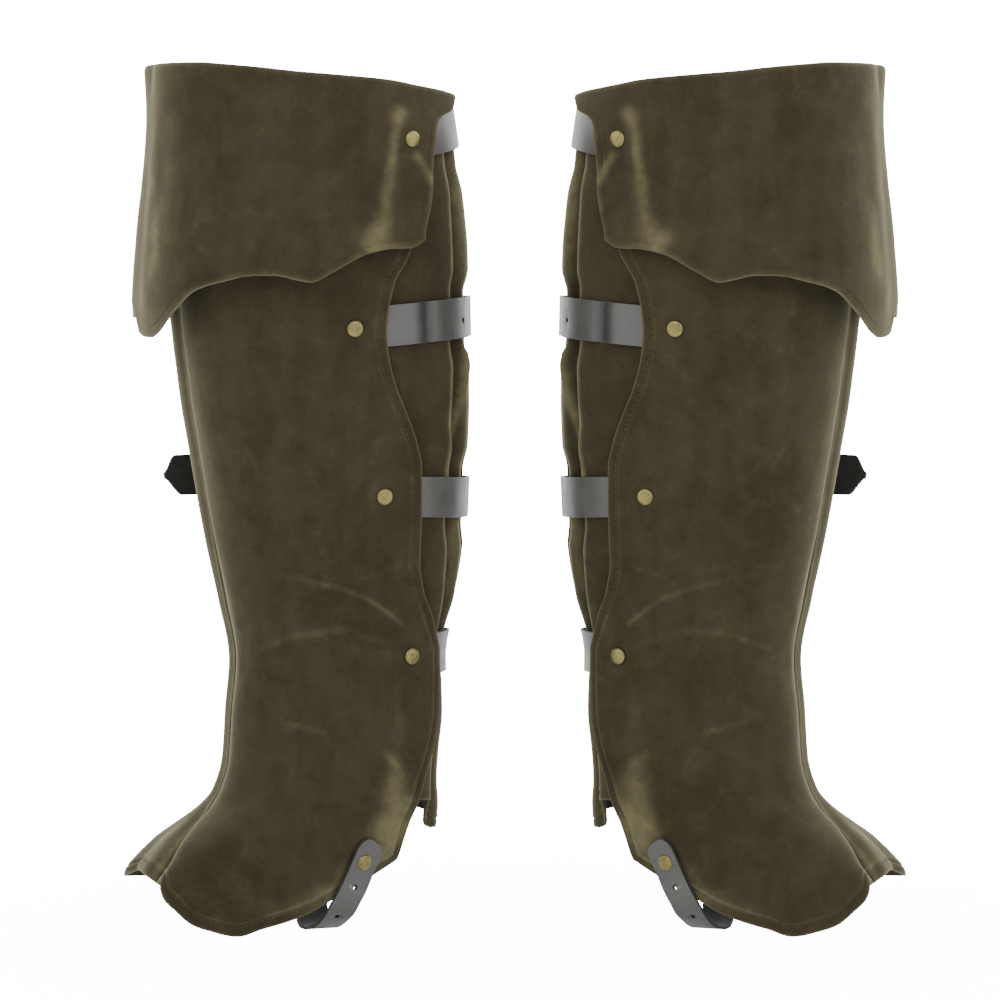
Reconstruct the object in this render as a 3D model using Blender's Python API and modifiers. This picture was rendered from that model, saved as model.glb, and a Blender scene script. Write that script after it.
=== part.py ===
"""A pair of over-the-knee faux leather gaiters, each with a turned-down cuff, a pleated back,
four buckled leg straps and a strap that goes under the foot. Metres, +Z up, heels together.

Inside the functions a gaiter is drawn in millimetres about its own leg: forward is towards the
toe, outward is away from the other leg, and height is above the ground. Along a horizontal ring
of the leg, share is 0 at the front seam, 1 at the back of the outer side, and negative on the
inner side, so that 1 and -1 are the same place.
"""

import bisect
import functools
import math

import bmesh
import bpy
from mathutils import Vector

MM = 0.001
HELD_HEIGHT = 380.0
LEG_SPACING = 115.0
TOE_OUT = math.radians(17)

# The leg's horizontal sections. widest is where along forward the section is widest, and
# front_square and back_square are 2 for an ellipse and more for a squarer end.
SECTIONS = (
    # height, front, back, widest, half_width, front_square, back_square, seam_dip
    (0, 141, -65, 45, 62, 3.6, 2.0, 22),
    (20, 137.5, -66, 45, 61, 3.6, 2.0, 20),
    (40, 129, -68, 42, 59, 3.6, 2.0, 18),
    (60, 111, -69, 32, 55, 3.2, 2.1, 12),
    (72, 95, -70, 22, 52, 2.8, 2.2, 7),
    (82, 82, -71, 14, 50, 2.5, 2.2, 4),
    (92, 74, -71.5, 8, 49, 2.3, 2.2, 3),
    (112, 68, -73, 2, 48, 2.3, 2.2, 3),
    (141, 66, -75.5, 0, 47, 2.3, 2.2, 3),
    (174, 63, -74.5, -2, 48, 2.3, 2.2, 3),
    (209, 69, -82.5, -3, 51, 2.4, 2.2, 3),
    (246, 76.5, -87.5, -2, 55, 2.6, 2.2, 3.5),
    (291, 84.5, -89.3, 0, 59, 2.8, 2.2, 4),
    (335, 91.5, -91, 3, 62, 2.9, 2.2, 4),
    (380, 97, -90, 6, 64, 2.9, 2.2, 4),
    (432, 101.5, -89, 9, 66, 2.8, 2.2, 4),
    (481, 105.5, -84.5, 13, 68, 2.7, 2.2, 3),
    (545, 110, -75.5, 17, 70, 2.6, 2.2, 2),
)
RING_STEPS = 72
SEAM_WIDTH = 9.0
TOE_SEAM_WIDTH = 21.0
TOE_TOP = 95.0
TOE_RISE = 50.0
HEEL_RISE = 75.0
HEEL_LENGTH = 75.0
HEEL_PINCH = 20.0
HEEL_PINCH_TO = 50.0
HEEL_ROUND = 30.0

# Walls and the spaces between them
CLOTH = 1.8
STRAP = 2.0
SEAM_GAP = 0.3
FOLD_GAP = 0.6
LAYER_GAP = 0.9
TUCK_DEPTH = CLOTH + LAYER_GAP + STRAP + LAYER_GAP
TUCK_FROM, TUCK_FULL = 0.72, 1.02
BACK_TOP = 509.0
BACK_TOP_FROM, BACK_TOP_FULL = 0.78, 0.86

# The rear edge of the outer panel, an S-curve down the calf
# At the toe the front seam runs round to the outer side, in a fold of its own.
SEAM_LINE = (
    # height, share of the front seam
    (44, 0.167),
    (52, 0.165),
    (62, 0.143),
    (71, 0.076),
    (78, 0.012),
    (86, 0.0),
)
TOE_FOLD = 6.0
TOE_FOLD_WIDTH = 8.0
TOE_FOLD_TOP = 90.0
TOE_FOLD_RISE = 26.0
TOE_GAP = 0.9
TOE_FILL = 26.0
SEAM_MOVED_TO = 0.30

OUTER_EDGE = (
    # height, share
    (0, 0.80),
    (50, 0.790),
    (62, 0.777),
    (74, 0.765),
    (94, 0.770),
    (124, 0.813),
    (140, 0.824),
    (165, 0.828),
    (178, 0.824),
    (187, 0.795),
    (202, 0.746),
    (216, 0.706),
    (236, 0.684),
    (270, 0.687),
    (293, 0.687),
    (307, 0.674),
    (323, 0.650),
    (344, 0.617),
    (361, 0.603),
    (374, 0.600),
    (386, 0.605),
    (406, 0.625),
    (426, 0.669),
    (470, 0.695),
    (495, 0.730),
    (507, 0.760),
    (522, 0.82),
)
OUTER_HEM = (
    # share, height
    (0.0, 44.6),
    (0.164, 44.6),
    (0.191, 37.0),
    (0.207, 32.5),
    (0.243, 25.6),
    (0.284, 17.6),
    (0.31, 14.8),
    (0.388, 9.8),
    (0.435, 13.5),
    (0.48, 16.6),
    (0.553, 22.3),
    (0.608, 28.1),
    (0.704, 37.6),
    (0.79, 48.8),
)
# Along the inner panel, way is 0 at the front seam, 1 at the back and more where it comes round
# to the outer side and tucks under the outer panel.
INNER_HEM = (
    # way, height
    (0.0, 44.6),
    (0.02, 43.8),
    (0.10, 43.0),
    (0.15, 38.5),
    (0.20, 32.0),
    (0.30, 31.0),
    (0.45, 26.0),
    (0.60, 32.0),
    (0.70, 42.0),
    (0.80, 56.0),
    (0.86, 68.0),
    (0.90, 75.0),
    (0.96, 74.0),
    (1.00, 67.0),
    (1.06, 65.8),
    (1.15, 66.5),
    (1.17, 70.0),
    (1.19, 84.0),
    (1.45, 86.0),
)
TOP_LINE = (
    # share, height of the fold
    (0.0, 539.2),
    (0.20, 538.8),
    (0.26, 537.6),
    (0.34, 535.7),
    (0.42, 533.4),
    (0.50, 531.9),
    (0.647, 528.8),
    (0.712, 526.1),
    (0.792, 523.5),
    (0.864, 521.0),
    (1.0, 517.2),
)
# The cuff stands off the leg most at the front
CUFF_REACH = 3.8
CUFF_TIGHT = 0.12
CUFF_TIGHT_FROM = 0.78
CUFF_CURVE = 1.2
CUFF_FLARE = (
    # drop below the fold, stand
    (0, 0.0),
    (20, 0.8),
    (60, 5.5),
    (110, 14.0),
    (140, 18.0),
    (165, 19.5),
)
CUFF_HEM = (
    # share, height
    (0.0, 381.0),
    (0.04, 376.5),
    (0.07, 375.0),
    (0.10, 378.0),
    (0.146, 390.6),
    (0.189, 402.7),
    (0.226, 406.8),
    (0.30, 411.1),
    (0.338, 411.0),
    (0.38, 408.5),
    (0.412, 406.9),
    (0.461, 412.5),
    (0.548, 423.7),
    (0.605, 426.6),
    (0.656, 427.1),
    (0.693, 431.9),
)
CUFF_REAR = (
    # height, share
    (425, 0.690),
    (437, 0.695),
    (450, 0.711),
    (459, 0.721),
    (476, 0.732),
    (493, 0.748),
    (503, 0.760),
    (507, 0.777),
    (511, 0.82),
    (520, 0.85),
)
# The top of the fold, from inside the leg over to the outside
FOLD = (
    # out, drop below the fold's top
    (-1.8, 5.5),
    (-1.8, 2.6),
    (-0.8, 0.6),
    (1.0, 0.0),
    (2.8, 0.6),
    (3.8, 2.8),
)
FOLD_DEPTH = FOLD[0][1]
CUFF_ROWS = (0.14, 0.30, 0.46, 0.62, 0.76, 0.89, 1.0)
INNER_CUFF = 0.86

# Pleats of the inner panel at the back: a sharp ridge with a trough beside it
PLEATS = (
    # ridge way, trough width, depth
    (1.23, -0.10, 7.0),
    (1.09, -0.12, 8.0),
    (0.83, 0.12, 7.0),
)
PLEAT_SWAY = (
    # height, how far the ridges move towards the front of the outer side
    (150, -0.045),
    (185, -0.034),
    (210, -0.004),
    (254, 0.016),
    (334, 0.014),
    (395, -0.004),
    (438, -0.002),
    (481, -0.012),
    (540, -0.014),
)
SWAY_FROM, SWAY_FULL = 0.97, 1.09
PLEAT_RISE = 0.3
PLEAT_FADE = (
    # height, share of the full depth
    (60, 0.45),
    (110, 0.55),
    (176, 0.55),
    (230, 0.95),
    (300, 1.0),
    (480, 1.0),
    (520, 0.8),
)
# Between the straps the cloth of the back bulges out
BACK_BULGE = (
    # height, out
    (192, 0.0),
    (212, 1.5),
    (240, 2.2),
    (256, 0.0),
    (289, 0.0),
    (305, 3.0),
    (352, 3.0),
    (369, 0.0),
    (401, 0.0),
    (415, 2.6),
    (460, 2.2),
    (477, 0.0),
)
BULGE_FROM, BULGE_FULL = 0.90, 1.00
INNER_WAYS = (
    0.0, 0.035, 0.07, 0.11, 0.16, 0.22, 0.28, 0.35, 0.42, 0.5, 0.58, 0.66, 0.73, 0.79,
    0.83, 0.853, 0.875, 0.91, 0.95, 0.975, 1.015, 1.055, 1.072, 1.09, 1.11, 1.16,
    1.20, 1.215, 1.23, 1.27, 1.33, 1.39, 1.45,
)  # fmt: skip
OUTER_COLUMNS = (
    0.0, 0.045, 0.09, 0.14, 0.19, 0.25, 0.32, 0.40, 0.48, 0.56, 0.64, 0.72, 0.79, 0.86, 0.93, 1.0,
)  # fmt: skip
CUFF_COLUMNS = (0.0, 0.06, 0.12, 0.18, 0.25, 0.33, 0.42, 0.50, 0.59, 0.69, 0.80, 0.90, 1.0)
# Levels of the panels' rows. Below HEM_BLEND they close up towards the hem, and above TOP_BLEND
# towards the top edge.
OUTER_LEVELS = (
    535, 520, 505, 490, 460, 420, 375, 330, 285, 245, 213, 190, 170, 140, 110, 90, 76, 62, 48, 34,
)  # fmt: skip
INNER_LEVELS = (
    535, 505, 478, 460, 415, 401, 369, 352, 305, 289, 256, 240, 212, 189.5, 163, 138, 110, 90, 76, 62, 48, 34,
)  # fmt: skip
# A panel's edge and its row's height depend on each other, so a few rounds settle them
EDGE_GUESS = 0.75
SETTLE_ROUNDS = 5
HEM_BLEND = 90
TOP_BLEND = 488

# The leg straps, from a rivet on the outer panel round the back to a buckle on the inner side
STRAP_WIDTH = 25.0
STRAP_POINT = 11.0
STRAP_TIP = 0.15
RIVET_TO_END = 9.0
STRAP_STEP = 13.0
LEG_STRAPS = (
    # name, rivet_share, rivet_height, back_height, buckle_height, buckle_way, tail, free_from
    ("1", 0.681, 493.0, 503.0, 498.0, 0.84, 42.0, 42.0),
    ("2", 0.522, 378.0, 385.0, 380.0, 0.52, 78.0, 78.0),
    ("3", 0.579, 275.3, 272.0, 286.0, 0.44, 85.0, 40.0),
    ("4", 0.692, 176.2, 176.2, 172.0, 0.50, 55.0, 34.0),
)
RIVET_RADIUS = 5.2
RIVET_TOP_RADIUS = 4.3
RIVET_HEIGHT = 1.5
RIVET_SIDES = 12

# A heel-bar buckle. behind is how far a point lies behind the heel bar, along the strap, and out
# is how far it stands off the inner panel.
BUCKLE_LENGTH = 20.0
BUCKLE_WIDTH = 31.0
BUCKLE_CORNER = 4.0
BUCKLE_OUT = 4.3
WIRE = 1.3
PRONG = 1.0
PRONG_REACH = 2.6
CHAPE = 1.6
CHAPE_WIDTH = 24.0
CHAPE_RIVET = -19.0
CHAPE_TOP = 4.4
STRAP_AT_BUCKLE = (
    # behind, out of the strap's outer face
    (-44.0, 2.7),
    (-36.0, 4.4),
    (-30.0, 6.6),
    (-24.0, 8.2),
    (-16.0, 9.2),
    (-10.0, 9.8),
    (-4.0, 10.4),
    (0.0, 10.4),
    (3.0, 9.6),
    (7.0, 7.3),
    (11.0, 5.0),
    (15.0, 3.3),
    (20.0, 2.7),
)
SLOT_BEHIND = (-5.0, 11.3)
SLOT_OUT = (0.3, 8.1)
SLOT_WIDTH = 3.6

# The strap under the foot: up the outer panel, free below the hem, and up the inner panel
STIRRUP_OUTER = (
    # share, height, space under it
    (0.690, 69.5, 0.8),
    (0.677, 61.0, 0.8),
    (0.668, 50.3, 0.8),
    (0.668, 41.8, 1.5),
    (0.654, 34.0, 2.3),
)
STIRRUP_LOOP = (
    # forward, outward, height, turn of its face in plan, in degrees
    (4.0, 48.5, 23.0, 28.0),
    (8.0, 39.5, 11.5, 18.0),
    (11.0, 20.0, 6.0, 6.0),
    (11.0, 0.0, 4.5, 0.0),
    (7.0, -20.0, 8.5, -8.0),
    (2.0, -38.0, 20.0, -24.0),
)
STIRRUP_INNER = (
    # way, height, space under it
    (0.645, 32.0, 2.6),
    (0.655, 40.0, 2.0),
    (0.670, 50.0, 1.3),
    (0.685, 60.0, 0.9),
    (0.692, 67.0, 0.9),
)
STIRRUP_WIDTH = 20.0
STIRRUP_RIVET_GAP = 0.5
STIRRUP_STEPS = 22
STIRRUP_END = (0.62, 0.96, 1.0)

COLOURS = {
    # name: red, green, blue, roughness, metallic
    "suede": (0.046, 0.038, 0.018, 0.95, 0.0),
    "strap": (0.050, 0.050, 0.048, 0.45, 0.0),
    "brass": (0.36, 0.33, 0.16, 0.40, 1.0),
}


def smooth(x):
    x = min(1.0, max(0.0, x))
    return x * x * (3 - 2 * x)


def read_table(rows, x, column=1):
    """A smooth curve through one column of a table, which never overshoots its rows."""
    xs = [row[0] for row in rows]
    ys = [row[column] for row in rows]
    if x <= xs[0]:
        return ys[0]
    if x >= xs[-1]:
        return ys[-1]
    i = bisect.bisect_right(xs, x) - 1

    def slope(k):
        if k in (0, len(xs) - 1):
            j = min(k, len(xs) - 2)
            return (ys[j + 1] - ys[j]) / (xs[j + 1] - xs[j])
        before = (ys[k] - ys[k - 1]) / (xs[k] - xs[k - 1])
        after = (ys[k + 1] - ys[k]) / (xs[k + 1] - xs[k])
        if before * after <= 0:
            return 0.0
        return 2 * before * after / (before + after)

    step = xs[i + 1] - xs[i]
    s = (x - xs[i]) / step
    start, end = slope(i) * step, slope(i + 1) * step
    return (
        (2 * s**3 - 3 * s**2 + 1) * ys[i]
        + (s**3 - 2 * s**2 + s) * start
        + (3 * s**2 - 2 * s**3) * ys[i + 1]
        + (s**3 - s**2) * end
    )


def layer(way):
    """How far the inner panel lies inside the leg's surface, so that the straps and then the
    outer panel pass over it at the back."""
    return -TUCK_DEPTH * smooth((way - TUCK_FROM) / (TUCK_FULL - TUCK_FROM))


def seam_width(height):
    """How wide the leg's surface dips along its front."""
    toe = smooth((TOE_TOP - height) / TOE_RISE)
    return SEAM_WIDTH + (TOE_SEAM_WIDTH - SEAM_WIDTH) * toe


@functools.lru_cache(maxsize=None)
def ring(height):
    """Half of the leg's section, front to back, as points and the length up to each."""
    front, back, widest, half, front_square, back_square, dip = (
        read_table(SECTIONS, height, column) for column in range(1, 8)
    )
    dip_width = seam_width(height)
    points = []
    for k in range(RING_STEPS + 1):
        turn = math.pi * (1 - math.cos(math.pi * k / RING_STEPS)) / 2
        c, s = math.cos(turn), abs(math.sin(turn))
        reach, square = (front - widest, front_square) if c > 0 else (widest - back, back_square)
        forward = widest + math.copysign(reach * abs(c) ** (2 / square), c)
        outward = half * s ** (2 / square)
        forward -= dip * math.exp(-((outward / dip_width) ** 2))
        heel = smooth((TOE_TOP - height) / HEEL_RISE)
        heel *= smooth((HEEL_PINCH_TO - forward) / HEEL_LENGTH)
        outward -= HEEL_PINCH * heel * min(1, outward / HEEL_ROUND)
        points.append((forward, outward))
    lengths = [0.0]
    for a, b in zip(points, points[1:]):
        lengths.append(lengths[-1] + math.dist(a, b))
    return points, lengths


def half_girth(height):
    return ring(round(height, 1))[1][-1]


def on_ring(share, height):
    share = (share + 1) % 2 - 1
    points, lengths = ring(round(height, 1))
    x = abs(share) * lengths[-1]
    i = min(len(points) - 2, max(0, bisect.bisect_right(lengths, x) - 1))
    k = (x - lengths[i]) / (lengths[i + 1] - lengths[i])
    forward = points[i][0] + k * (points[i + 1][0] - points[i][0])
    outward = points[i][1] + k * (points[i + 1][1] - points[i][1])
    return Vector((forward, math.copysign(outward, share), height))


def normal(share, height):
    """The leg surface's outward direction."""
    around = on_ring(share + 0.004, height) - on_ring(share - 0.004, height)
    up = on_ring(share, height + 2) - on_ring(share, height - 2)
    return around.cross(up).normalized()


def on_leg(share, height, out=0.0):
    return on_ring(share, height) + out * normal(share, height)


def on_panel(share, height, out=0.0):
    """A point of a panel's face: on the leg, with the dip of the toe's front moved to the seam."""
    moved = smooth((TOE_FOLD_TOP - height) / TOE_FOLD_RISE)
    if not moved:
        return on_leg(share, height, out)
    from_seam = (share - read_table(SEAM_LINE, height)) * half_girth(height)
    fold = TOE_FOLD * math.exp(-((from_seam / TOE_FOLD_WIDTH) ** 2))
    point = on_leg(share, height, out - moved * fold)
    dip = read_table(SECTIONS, height, 7) * smooth(1 + point.y / TOE_FILL)
    point.x += moved * dip * math.exp(-((point.y / seam_width(height)) ** 2))
    return point


def place(side, point):
    """A gaiter's own millimetres to the pair's metres. side is -1 for the left leg."""
    forward, outward, height = point
    x = LEG_SPACING + forward * math.cos(TOE_OUT) - outward * math.sin(TOE_OUT)
    y = -forward * math.sin(TOE_OUT) - outward * math.cos(TOE_OUT)
    return Vector((side * x, y, height - HELD_HEIGHT)) * MM


def material(name):
    if name in bpy.data.materials:
        return bpy.data.materials[name]
    red, green, blue, roughness, metallic = COLOURS[name]
    made = bpy.data.materials.new(name)
    made.use_nodes = True
    shader = made.node_tree.nodes["Principled BSDF"]
    shader.inputs["Base Color"].default_value = (red, green, blue, 1)
    shader.inputs["Roughness"].default_value = roughness
    shader.inputs["Metallic"].default_value = metallic
    return made


def add_object(name, data, finish, collection="gaiters"):
    obj = bpy.data.objects.new(name, data)
    bpy.data.collections[collection].objects.link(obj)
    if finish:
        data.materials.append(material(finish))
    return obj


def sheet(name, finish, side, rows, columns, point_at, thickness, turned=False):
    """A wall of the given thickness, inwards from a grid of points. point_at gives the point of a
    row and column, and the columns run towards the outer side, the rows downwards."""
    mesh = bmesh.new()
    bmesh.ops.create_grid(mesh, x_segments=columns - 1, y_segments=rows - 1, size=0.5)
    for vertex in mesh.verts:
        column = round((vertex.co.x + 0.5) * (columns - 1))
        row = round((0.5 - vertex.co.y) * (rows - 1))
        vertex.co = place(side, point_at(row, column))
    if (side > 0) != turned:
        bmesh.ops.reverse_faces(mesh, faces=mesh.faces)
    data = bpy.data.meshes.new(name)
    mesh.to_mesh(data)
    mesh.free()
    data.shade_smooth()
    obj = add_object(name, data, finish)
    wall = obj.modifiers.new("Wall", "SOLIDIFY")
    wall.thickness = thickness * MM
    wall.offset = -1
    return obj


def wire(name, finish, side, points, radius, cyclic=False):
    curve = bpy.data.curves.new(name, "CURVE")
    curve.dimensions = "3D"
    curve.bevel_depth = radius * MM
    curve.bevel_resolution = 1
    curve.use_fill_caps = True
    spline = curve.splines.new("POLY")
    spline.points.add(len(points) - 1)
    for target, point in zip(spline.points, points):
        target.co = (*place(side, point), 1)
    spline.use_cyclic_u = cyclic
    return add_object(name, curve, finish)


def rivet(name, side, base, away):
    """A flat-topped cap whose underside lies at base and which faces away."""
    mesh = bmesh.new()
    bmesh.ops.create_cone(
        mesh,
        cap_ends=True,
        segments=RIVET_SIDES,
        radius1=RIVET_RADIUS * MM,
        radius2=RIVET_TOP_RADIUS * MM,
        depth=RIVET_HEIGHT * MM,
    )
    bmesh.ops.translate(mesh, verts=mesh.verts, vec=(0, 0, RIVET_HEIGHT * MM / 2))
    data = bpy.data.meshes.new(name)
    mesh.to_mesh(data)
    mesh.free()
    obj = add_object(name, data, "brass")
    start = place(side, base)
    direction = place(side, base + away) - start
    obj.rotation_euler = direction.to_track_quat("Z", "Y").to_euler()
    obj.location = start
    return obj


def top_of(share):
    return read_table(TOP_LINE, abs(share))


def seam_shares(height):
    """The front edges of the outer and the inner panel, on each side of the seam's gap."""
    gap = SEAM_GAP + TOE_GAP * smooth((TOE_FOLD_TOP - height) / TOE_FOLD_RISE)
    half = gap / 2 / half_girth(height)
    return read_table(SEAM_LINE, height) + half, read_table(SEAM_LINE, height) - half


def panel_height(levels, row, hem, top):
    level = levels[row]
    if level < HEM_BLEND:
        return hem + (level - levels[-1]) * (HEM_BLEND - hem) / (HEM_BLEND - levels[-1])
    if level > TOP_BLEND:
        return TOP_BLEND + (level - TOP_BLEND) * (top - TOP_BLEND) / (levels[0] - TOP_BLEND)
    return level


def outer_panel(side, prefix):
    def point_at(row, column):
        u = OUTER_COLUMNS[column]
        share = EDGE_GUESS * u
        for _ in range(SETTLE_ROUNDS):
            top = top_of(share) - FOLD_DEPTH - FOLD_GAP
            height = panel_height(OUTER_LEVELS, row, read_table(OUTER_HEM, share), top)
            first = seam_shares(height)[0]
            share = first + u * (read_table(OUTER_EDGE, height) - first)
        return on_panel(share, height)

    rows, columns = len(OUTER_LEVELS), len(OUTER_COLUMNS)
    return sheet(prefix + "outer_panel", "suede", side, rows, columns, point_at, CLOTH)


def sway(way, height):
    """Moves a point of the back along with the pleats, which lean as they run down."""
    return way + read_table(PLEAT_SWAY, height) * smooth((way - SWAY_FROM) / (SWAY_FULL - SWAY_FROM))


def pleats(way, height):
    """How deep a pleat's trough is at a point of the inner panel, before its sway."""
    depth = 0.0
    for ridge, width, deep in PLEATS:
        x = (way - ridge) / width
        if 0 < x < 1:
            rise = smooth(x / PLEAT_RISE) - smooth((x - PLEAT_RISE) / (1 - PLEAT_RISE))
            depth = max(depth, deep * rise)
    return depth * read_table(PLEAT_FADE, height)


def bulge(way, height):
    """How far the cloth of the back stands out between the straps."""
    rise = smooth((way - BULGE_FROM) / (BULGE_FULL - BULGE_FROM))
    return read_table(BACK_BULGE, height) * rise


def inner_panel(side, prefix):
    def point_at(row, column):
        way = INNER_WAYS[column]
        share = -way if way <= 1 else 2 - way
        top = top_of(share) - FOLD_DEPTH - FOLD_GAP
        top += (BACK_TOP - top) * smooth((way - BACK_TOP_FROM) / (BACK_TOP_FULL - BACK_TOP_FROM))
        height = panel_height(INNER_LEVELS, row, read_table(INNER_HEM, way), top)
        out = layer(way) + bulge(way, height) - pleats(way, height)
        way = sway(way, height)
        way -= read_table(SEAM_LINE, height) * max(0, 1 - way / SEAM_MOVED_TO)
        return on_panel(min(-way, seam_shares(height)[1]), height, out)

    rows, columns = len(INNER_LEVELS), len(INNER_WAYS)
    return sheet(prefix + "inner_panel", "suede", side, rows, columns, point_at, CLOTH, turned=True)


def cuff_stand(share, drop):
    """How far the cuff's outer face stands off the leg."""
    loose = math.cos(math.pi / 2 * min(1, abs(share) / CUFF_TIGHT_FROM)) ** CUFF_CURVE
    loose = CUFF_TIGHT + (1 - CUFF_TIGHT) * loose
    return CUFF_REACH + read_table(CUFF_FLARE, drop) * loose


def cuff(side, prefix):
    """The turned-down top: over the fold, then down outside both panels."""
    shares = [-u for u in reversed(CUFF_COLUMNS[1:])] + list(CUFF_COLUMNS)

    def point_at(row, column):
        u = shares[column]
        inner = u < 0
        width = INNER_CUFF if inner else 1.0
        share = EDGE_GUESS * u * width
        for _ in range(SETTLE_ROUNDS):
            top = top_of(share)
            under = layer(abs(share)) if inner else 0.0
            if row < len(FOLD):
                out, drop = FOLD[row]
                height, out = top - drop, out + under
            else:
                start = FOLD[-1][1]
                hem = read_table(CUFF_HEM, abs(share) / width)
                height = top - start - CUFF_ROWS[row - len(FOLD)] * (top - start - hem)
                out = cuff_stand(share, top - height) + under
            share = u * width * read_table(CUFF_REAR, height)
        return on_leg(share, height, out)

    rows, columns = len(FOLD) + len(CUFF_ROWS), len(shares)
    return sheet(prefix + "cuff", "suede", side, rows, columns, point_at, CLOTH)


def strap_frame(strap, way):
    """The height of a leg strap's middle at a way round the leg."""
    _, rivet_share, rivet_height, back_height, buckle_height, buckle_way, _, _ = strap
    rows = ((buckle_way, buckle_height), (1.0, back_height), (2 - rivet_share, rivet_height))
    return read_table(rows, way)


def on_strap(strap, behind, across, out):
    """A point by a leg strap's buckle: behind the heel bar, across the strap and off the panel."""
    height = strap_frame(strap, strap[5])
    way = strap[5] + behind / half_girth(height)
    return strap_point(strap, way, across, out)


def strap_point(strap, way, across, out):
    height = strap_frame(strap, way) + across
    return on_leg(-way, height, layer(way) + out)


def leg_strap(side, prefix, strap):
    name, rivet_share, _, _, buckle_height, buckle_way, tail, free_from = strap
    girth = half_girth(buckle_height)
    start = 2 - rivet_share + RIVET_TO_END / girth
    behind_last = STRAP_AT_BUCKLE[-1][0]
    first_way = buckle_way + (behind_last + 6) / girth
    count = math.ceil((start - first_way) * girth / STRAP_STEP)
    ways = [start + (first_way - start) * k / count for k in range(count)]
    stations = [(way, None) for way in ways]
    tail_ends = (tail - STRAP_POINT, tail - STRAP_POINT / 3, tail)
    near = [row[0] for row in reversed(STRAP_AT_BUCKLE) if -row[0] < tail_ends[0] - 3]
    behinds = near + [-x for x in tail_ends]
    if -near[-1] < tail_ends[0] - 20:
        behinds.insert(len(near), -(tail_ends[0] - near[-1]) / 2)
    stations += [(None, behind) for behind in behinds]
    free = on_strap(strap, -free_from, 0, 0)
    heading = (free - on_strap(strap, -free_from + 3, 0, 0)).normalized()

    def point_at(row, column):
        way, behind = stations[row]
        across = (0.5 - column) * STRAP_WIDTH
        if way is not None:
            return strap_point(strap, way, across, LAYER_GAP + STRAP)
        past = -behind - (tail - STRAP_POINT)
        if past > 0:
            across *= 1 - (1 - STRAP_TIP) * past / STRAP_POINT
        out = read_table(STRAP_AT_BUCKLE, behind)
        if -behind <= free_from:
            return on_strap(strap, behind, across, out)
        return on_strap(strap, -free_from, across, out) + heading * (-behind - free_from)

    label = prefix + "leg_strap_" + name
    return sheet(label, "strap", side, len(stations), 2, point_at, STRAP, turned=True)


def chape_profile():
    """The folded piece that holds the buckle: its outer face, from under the front end, round the
    heel bar and back over the top."""
    radius = WIRE + SEAM_GAP + CHAPE
    low = BUCKLE_OUT - radius
    rows = [(-26.0, 0.5), (-16.0, 0.5), (-9.0, 0.6), (-4.0, low - 0.15)]
    for degrees in (-90, -45, 0, 45, 90):
        turn = math.radians(degrees)
        rows.append((radius * math.cos(turn), BUCKLE_OUT + radius * math.sin(turn)))
    rows += [(-4.5, 6.4), (-9.0, 4.8), (-14.0, CHAPE_TOP), (-26.0, CHAPE_TOP)]
    return rows


def chape(side, prefix, strap):
    rows = chape_profile()

    def point_at(row, column):
        behind, out = rows[row]
        return on_strap(strap, behind, (0.5 - column) * CHAPE_WIDTH, out)

    label = prefix + "chape_" + strap[0]
    return sheet(label, "strap", side, len(rows), 2, point_at, CHAPE, turned=True)


def buckle_frame(side, prefix, strap):
    points = []
    half = BUCKLE_WIDTH / 2
    corners = (
        (BUCKLE_LENGTH - BUCKLE_CORNER, half - BUCKLE_CORNER, 0),
        (BUCKLE_CORNER, half - BUCKLE_CORNER, 90),
        (BUCKLE_CORNER, BUCKLE_CORNER - half, 180),
        (BUCKLE_LENGTH - BUCKLE_CORNER, BUCKLE_CORNER - half, 270),
    )
    for behind, across, start in corners:
        for step in (0, 45, 90):
            turn = math.radians(start + step)
            points.append(
                on_strap(
                    strap,
                    behind + BUCKLE_CORNER * math.cos(turn),
                    across + BUCKLE_CORNER * math.sin(turn),
                    BUCKLE_OUT,
                )
            )
    return wire(prefix + "buckle_" + strap[0], "brass", side, points, WIRE, cyclic=True)


def prong(side, prefix, strap):
    """Hooked round the heel bar in the chape's slot, through the strap, and on to the far bar."""
    points = []
    for degrees in (-50, -100, -150, -200, -250, -270):
        turn = math.radians(degrees)
        points.append((PRONG_REACH * math.cos(turn), BUCKLE_OUT + PRONG_REACH * math.sin(turn)))
    rest = BUCKLE_OUT + WIRE + SEAM_GAP + PRONG
    points += [(BUCKLE_LENGTH / 2, rest), (BUCKLE_LENGTH + WIRE, rest)]
    route = [on_strap(strap, behind, 0, out) for behind, out in points]
    return wire(prefix + "prong_" + strap[0], "brass", side, route, PRONG)


def slot_cutter(side, prefix, strap):
    """The prong's slot, cut from a leg strap and its chape."""
    behind = sum(SLOT_BEHIND) / 2
    out = sum(SLOT_OUT) / 2
    centre = place(side, on_strap(strap, behind, 0, out))
    along = (place(side, on_strap(strap, behind + 1, 0, out)) - centre).normalized()
    away = (place(side, on_strap(strap, behind, 0, out + 1)) - centre).normalized()
    across = away.cross(along).normalized()
    mesh = bmesh.new()
    bmesh.ops.create_cube(mesh, size=1)
    for vertex in mesh.verts:
        x, y, z = vertex.co
        vertex.co = (
            centre
            + along * x * (SLOT_BEHIND[1] - SLOT_BEHIND[0]) * MM
            + across * y * SLOT_WIDTH * MM
            + away * z * (SLOT_OUT[1] - SLOT_OUT[0]) * MM
        )
    if along.cross(across).dot(away) < 0:
        bmesh.ops.reverse_faces(mesh, faces=mesh.faces)
    data = bpy.data.meshes.new(prefix + "slot_" + strap[0])
    mesh.to_mesh(data)
    mesh.free()
    cutter = add_object(data.name, data, None, "cutters")
    cutter.hide_render = True
    cutter.display_type = "WIRE"
    return cutter


def cut(target, cutter):
    modifier = target.modifiers.new("Slot", "BOOLEAN")
    modifier.object = cutter


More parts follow.
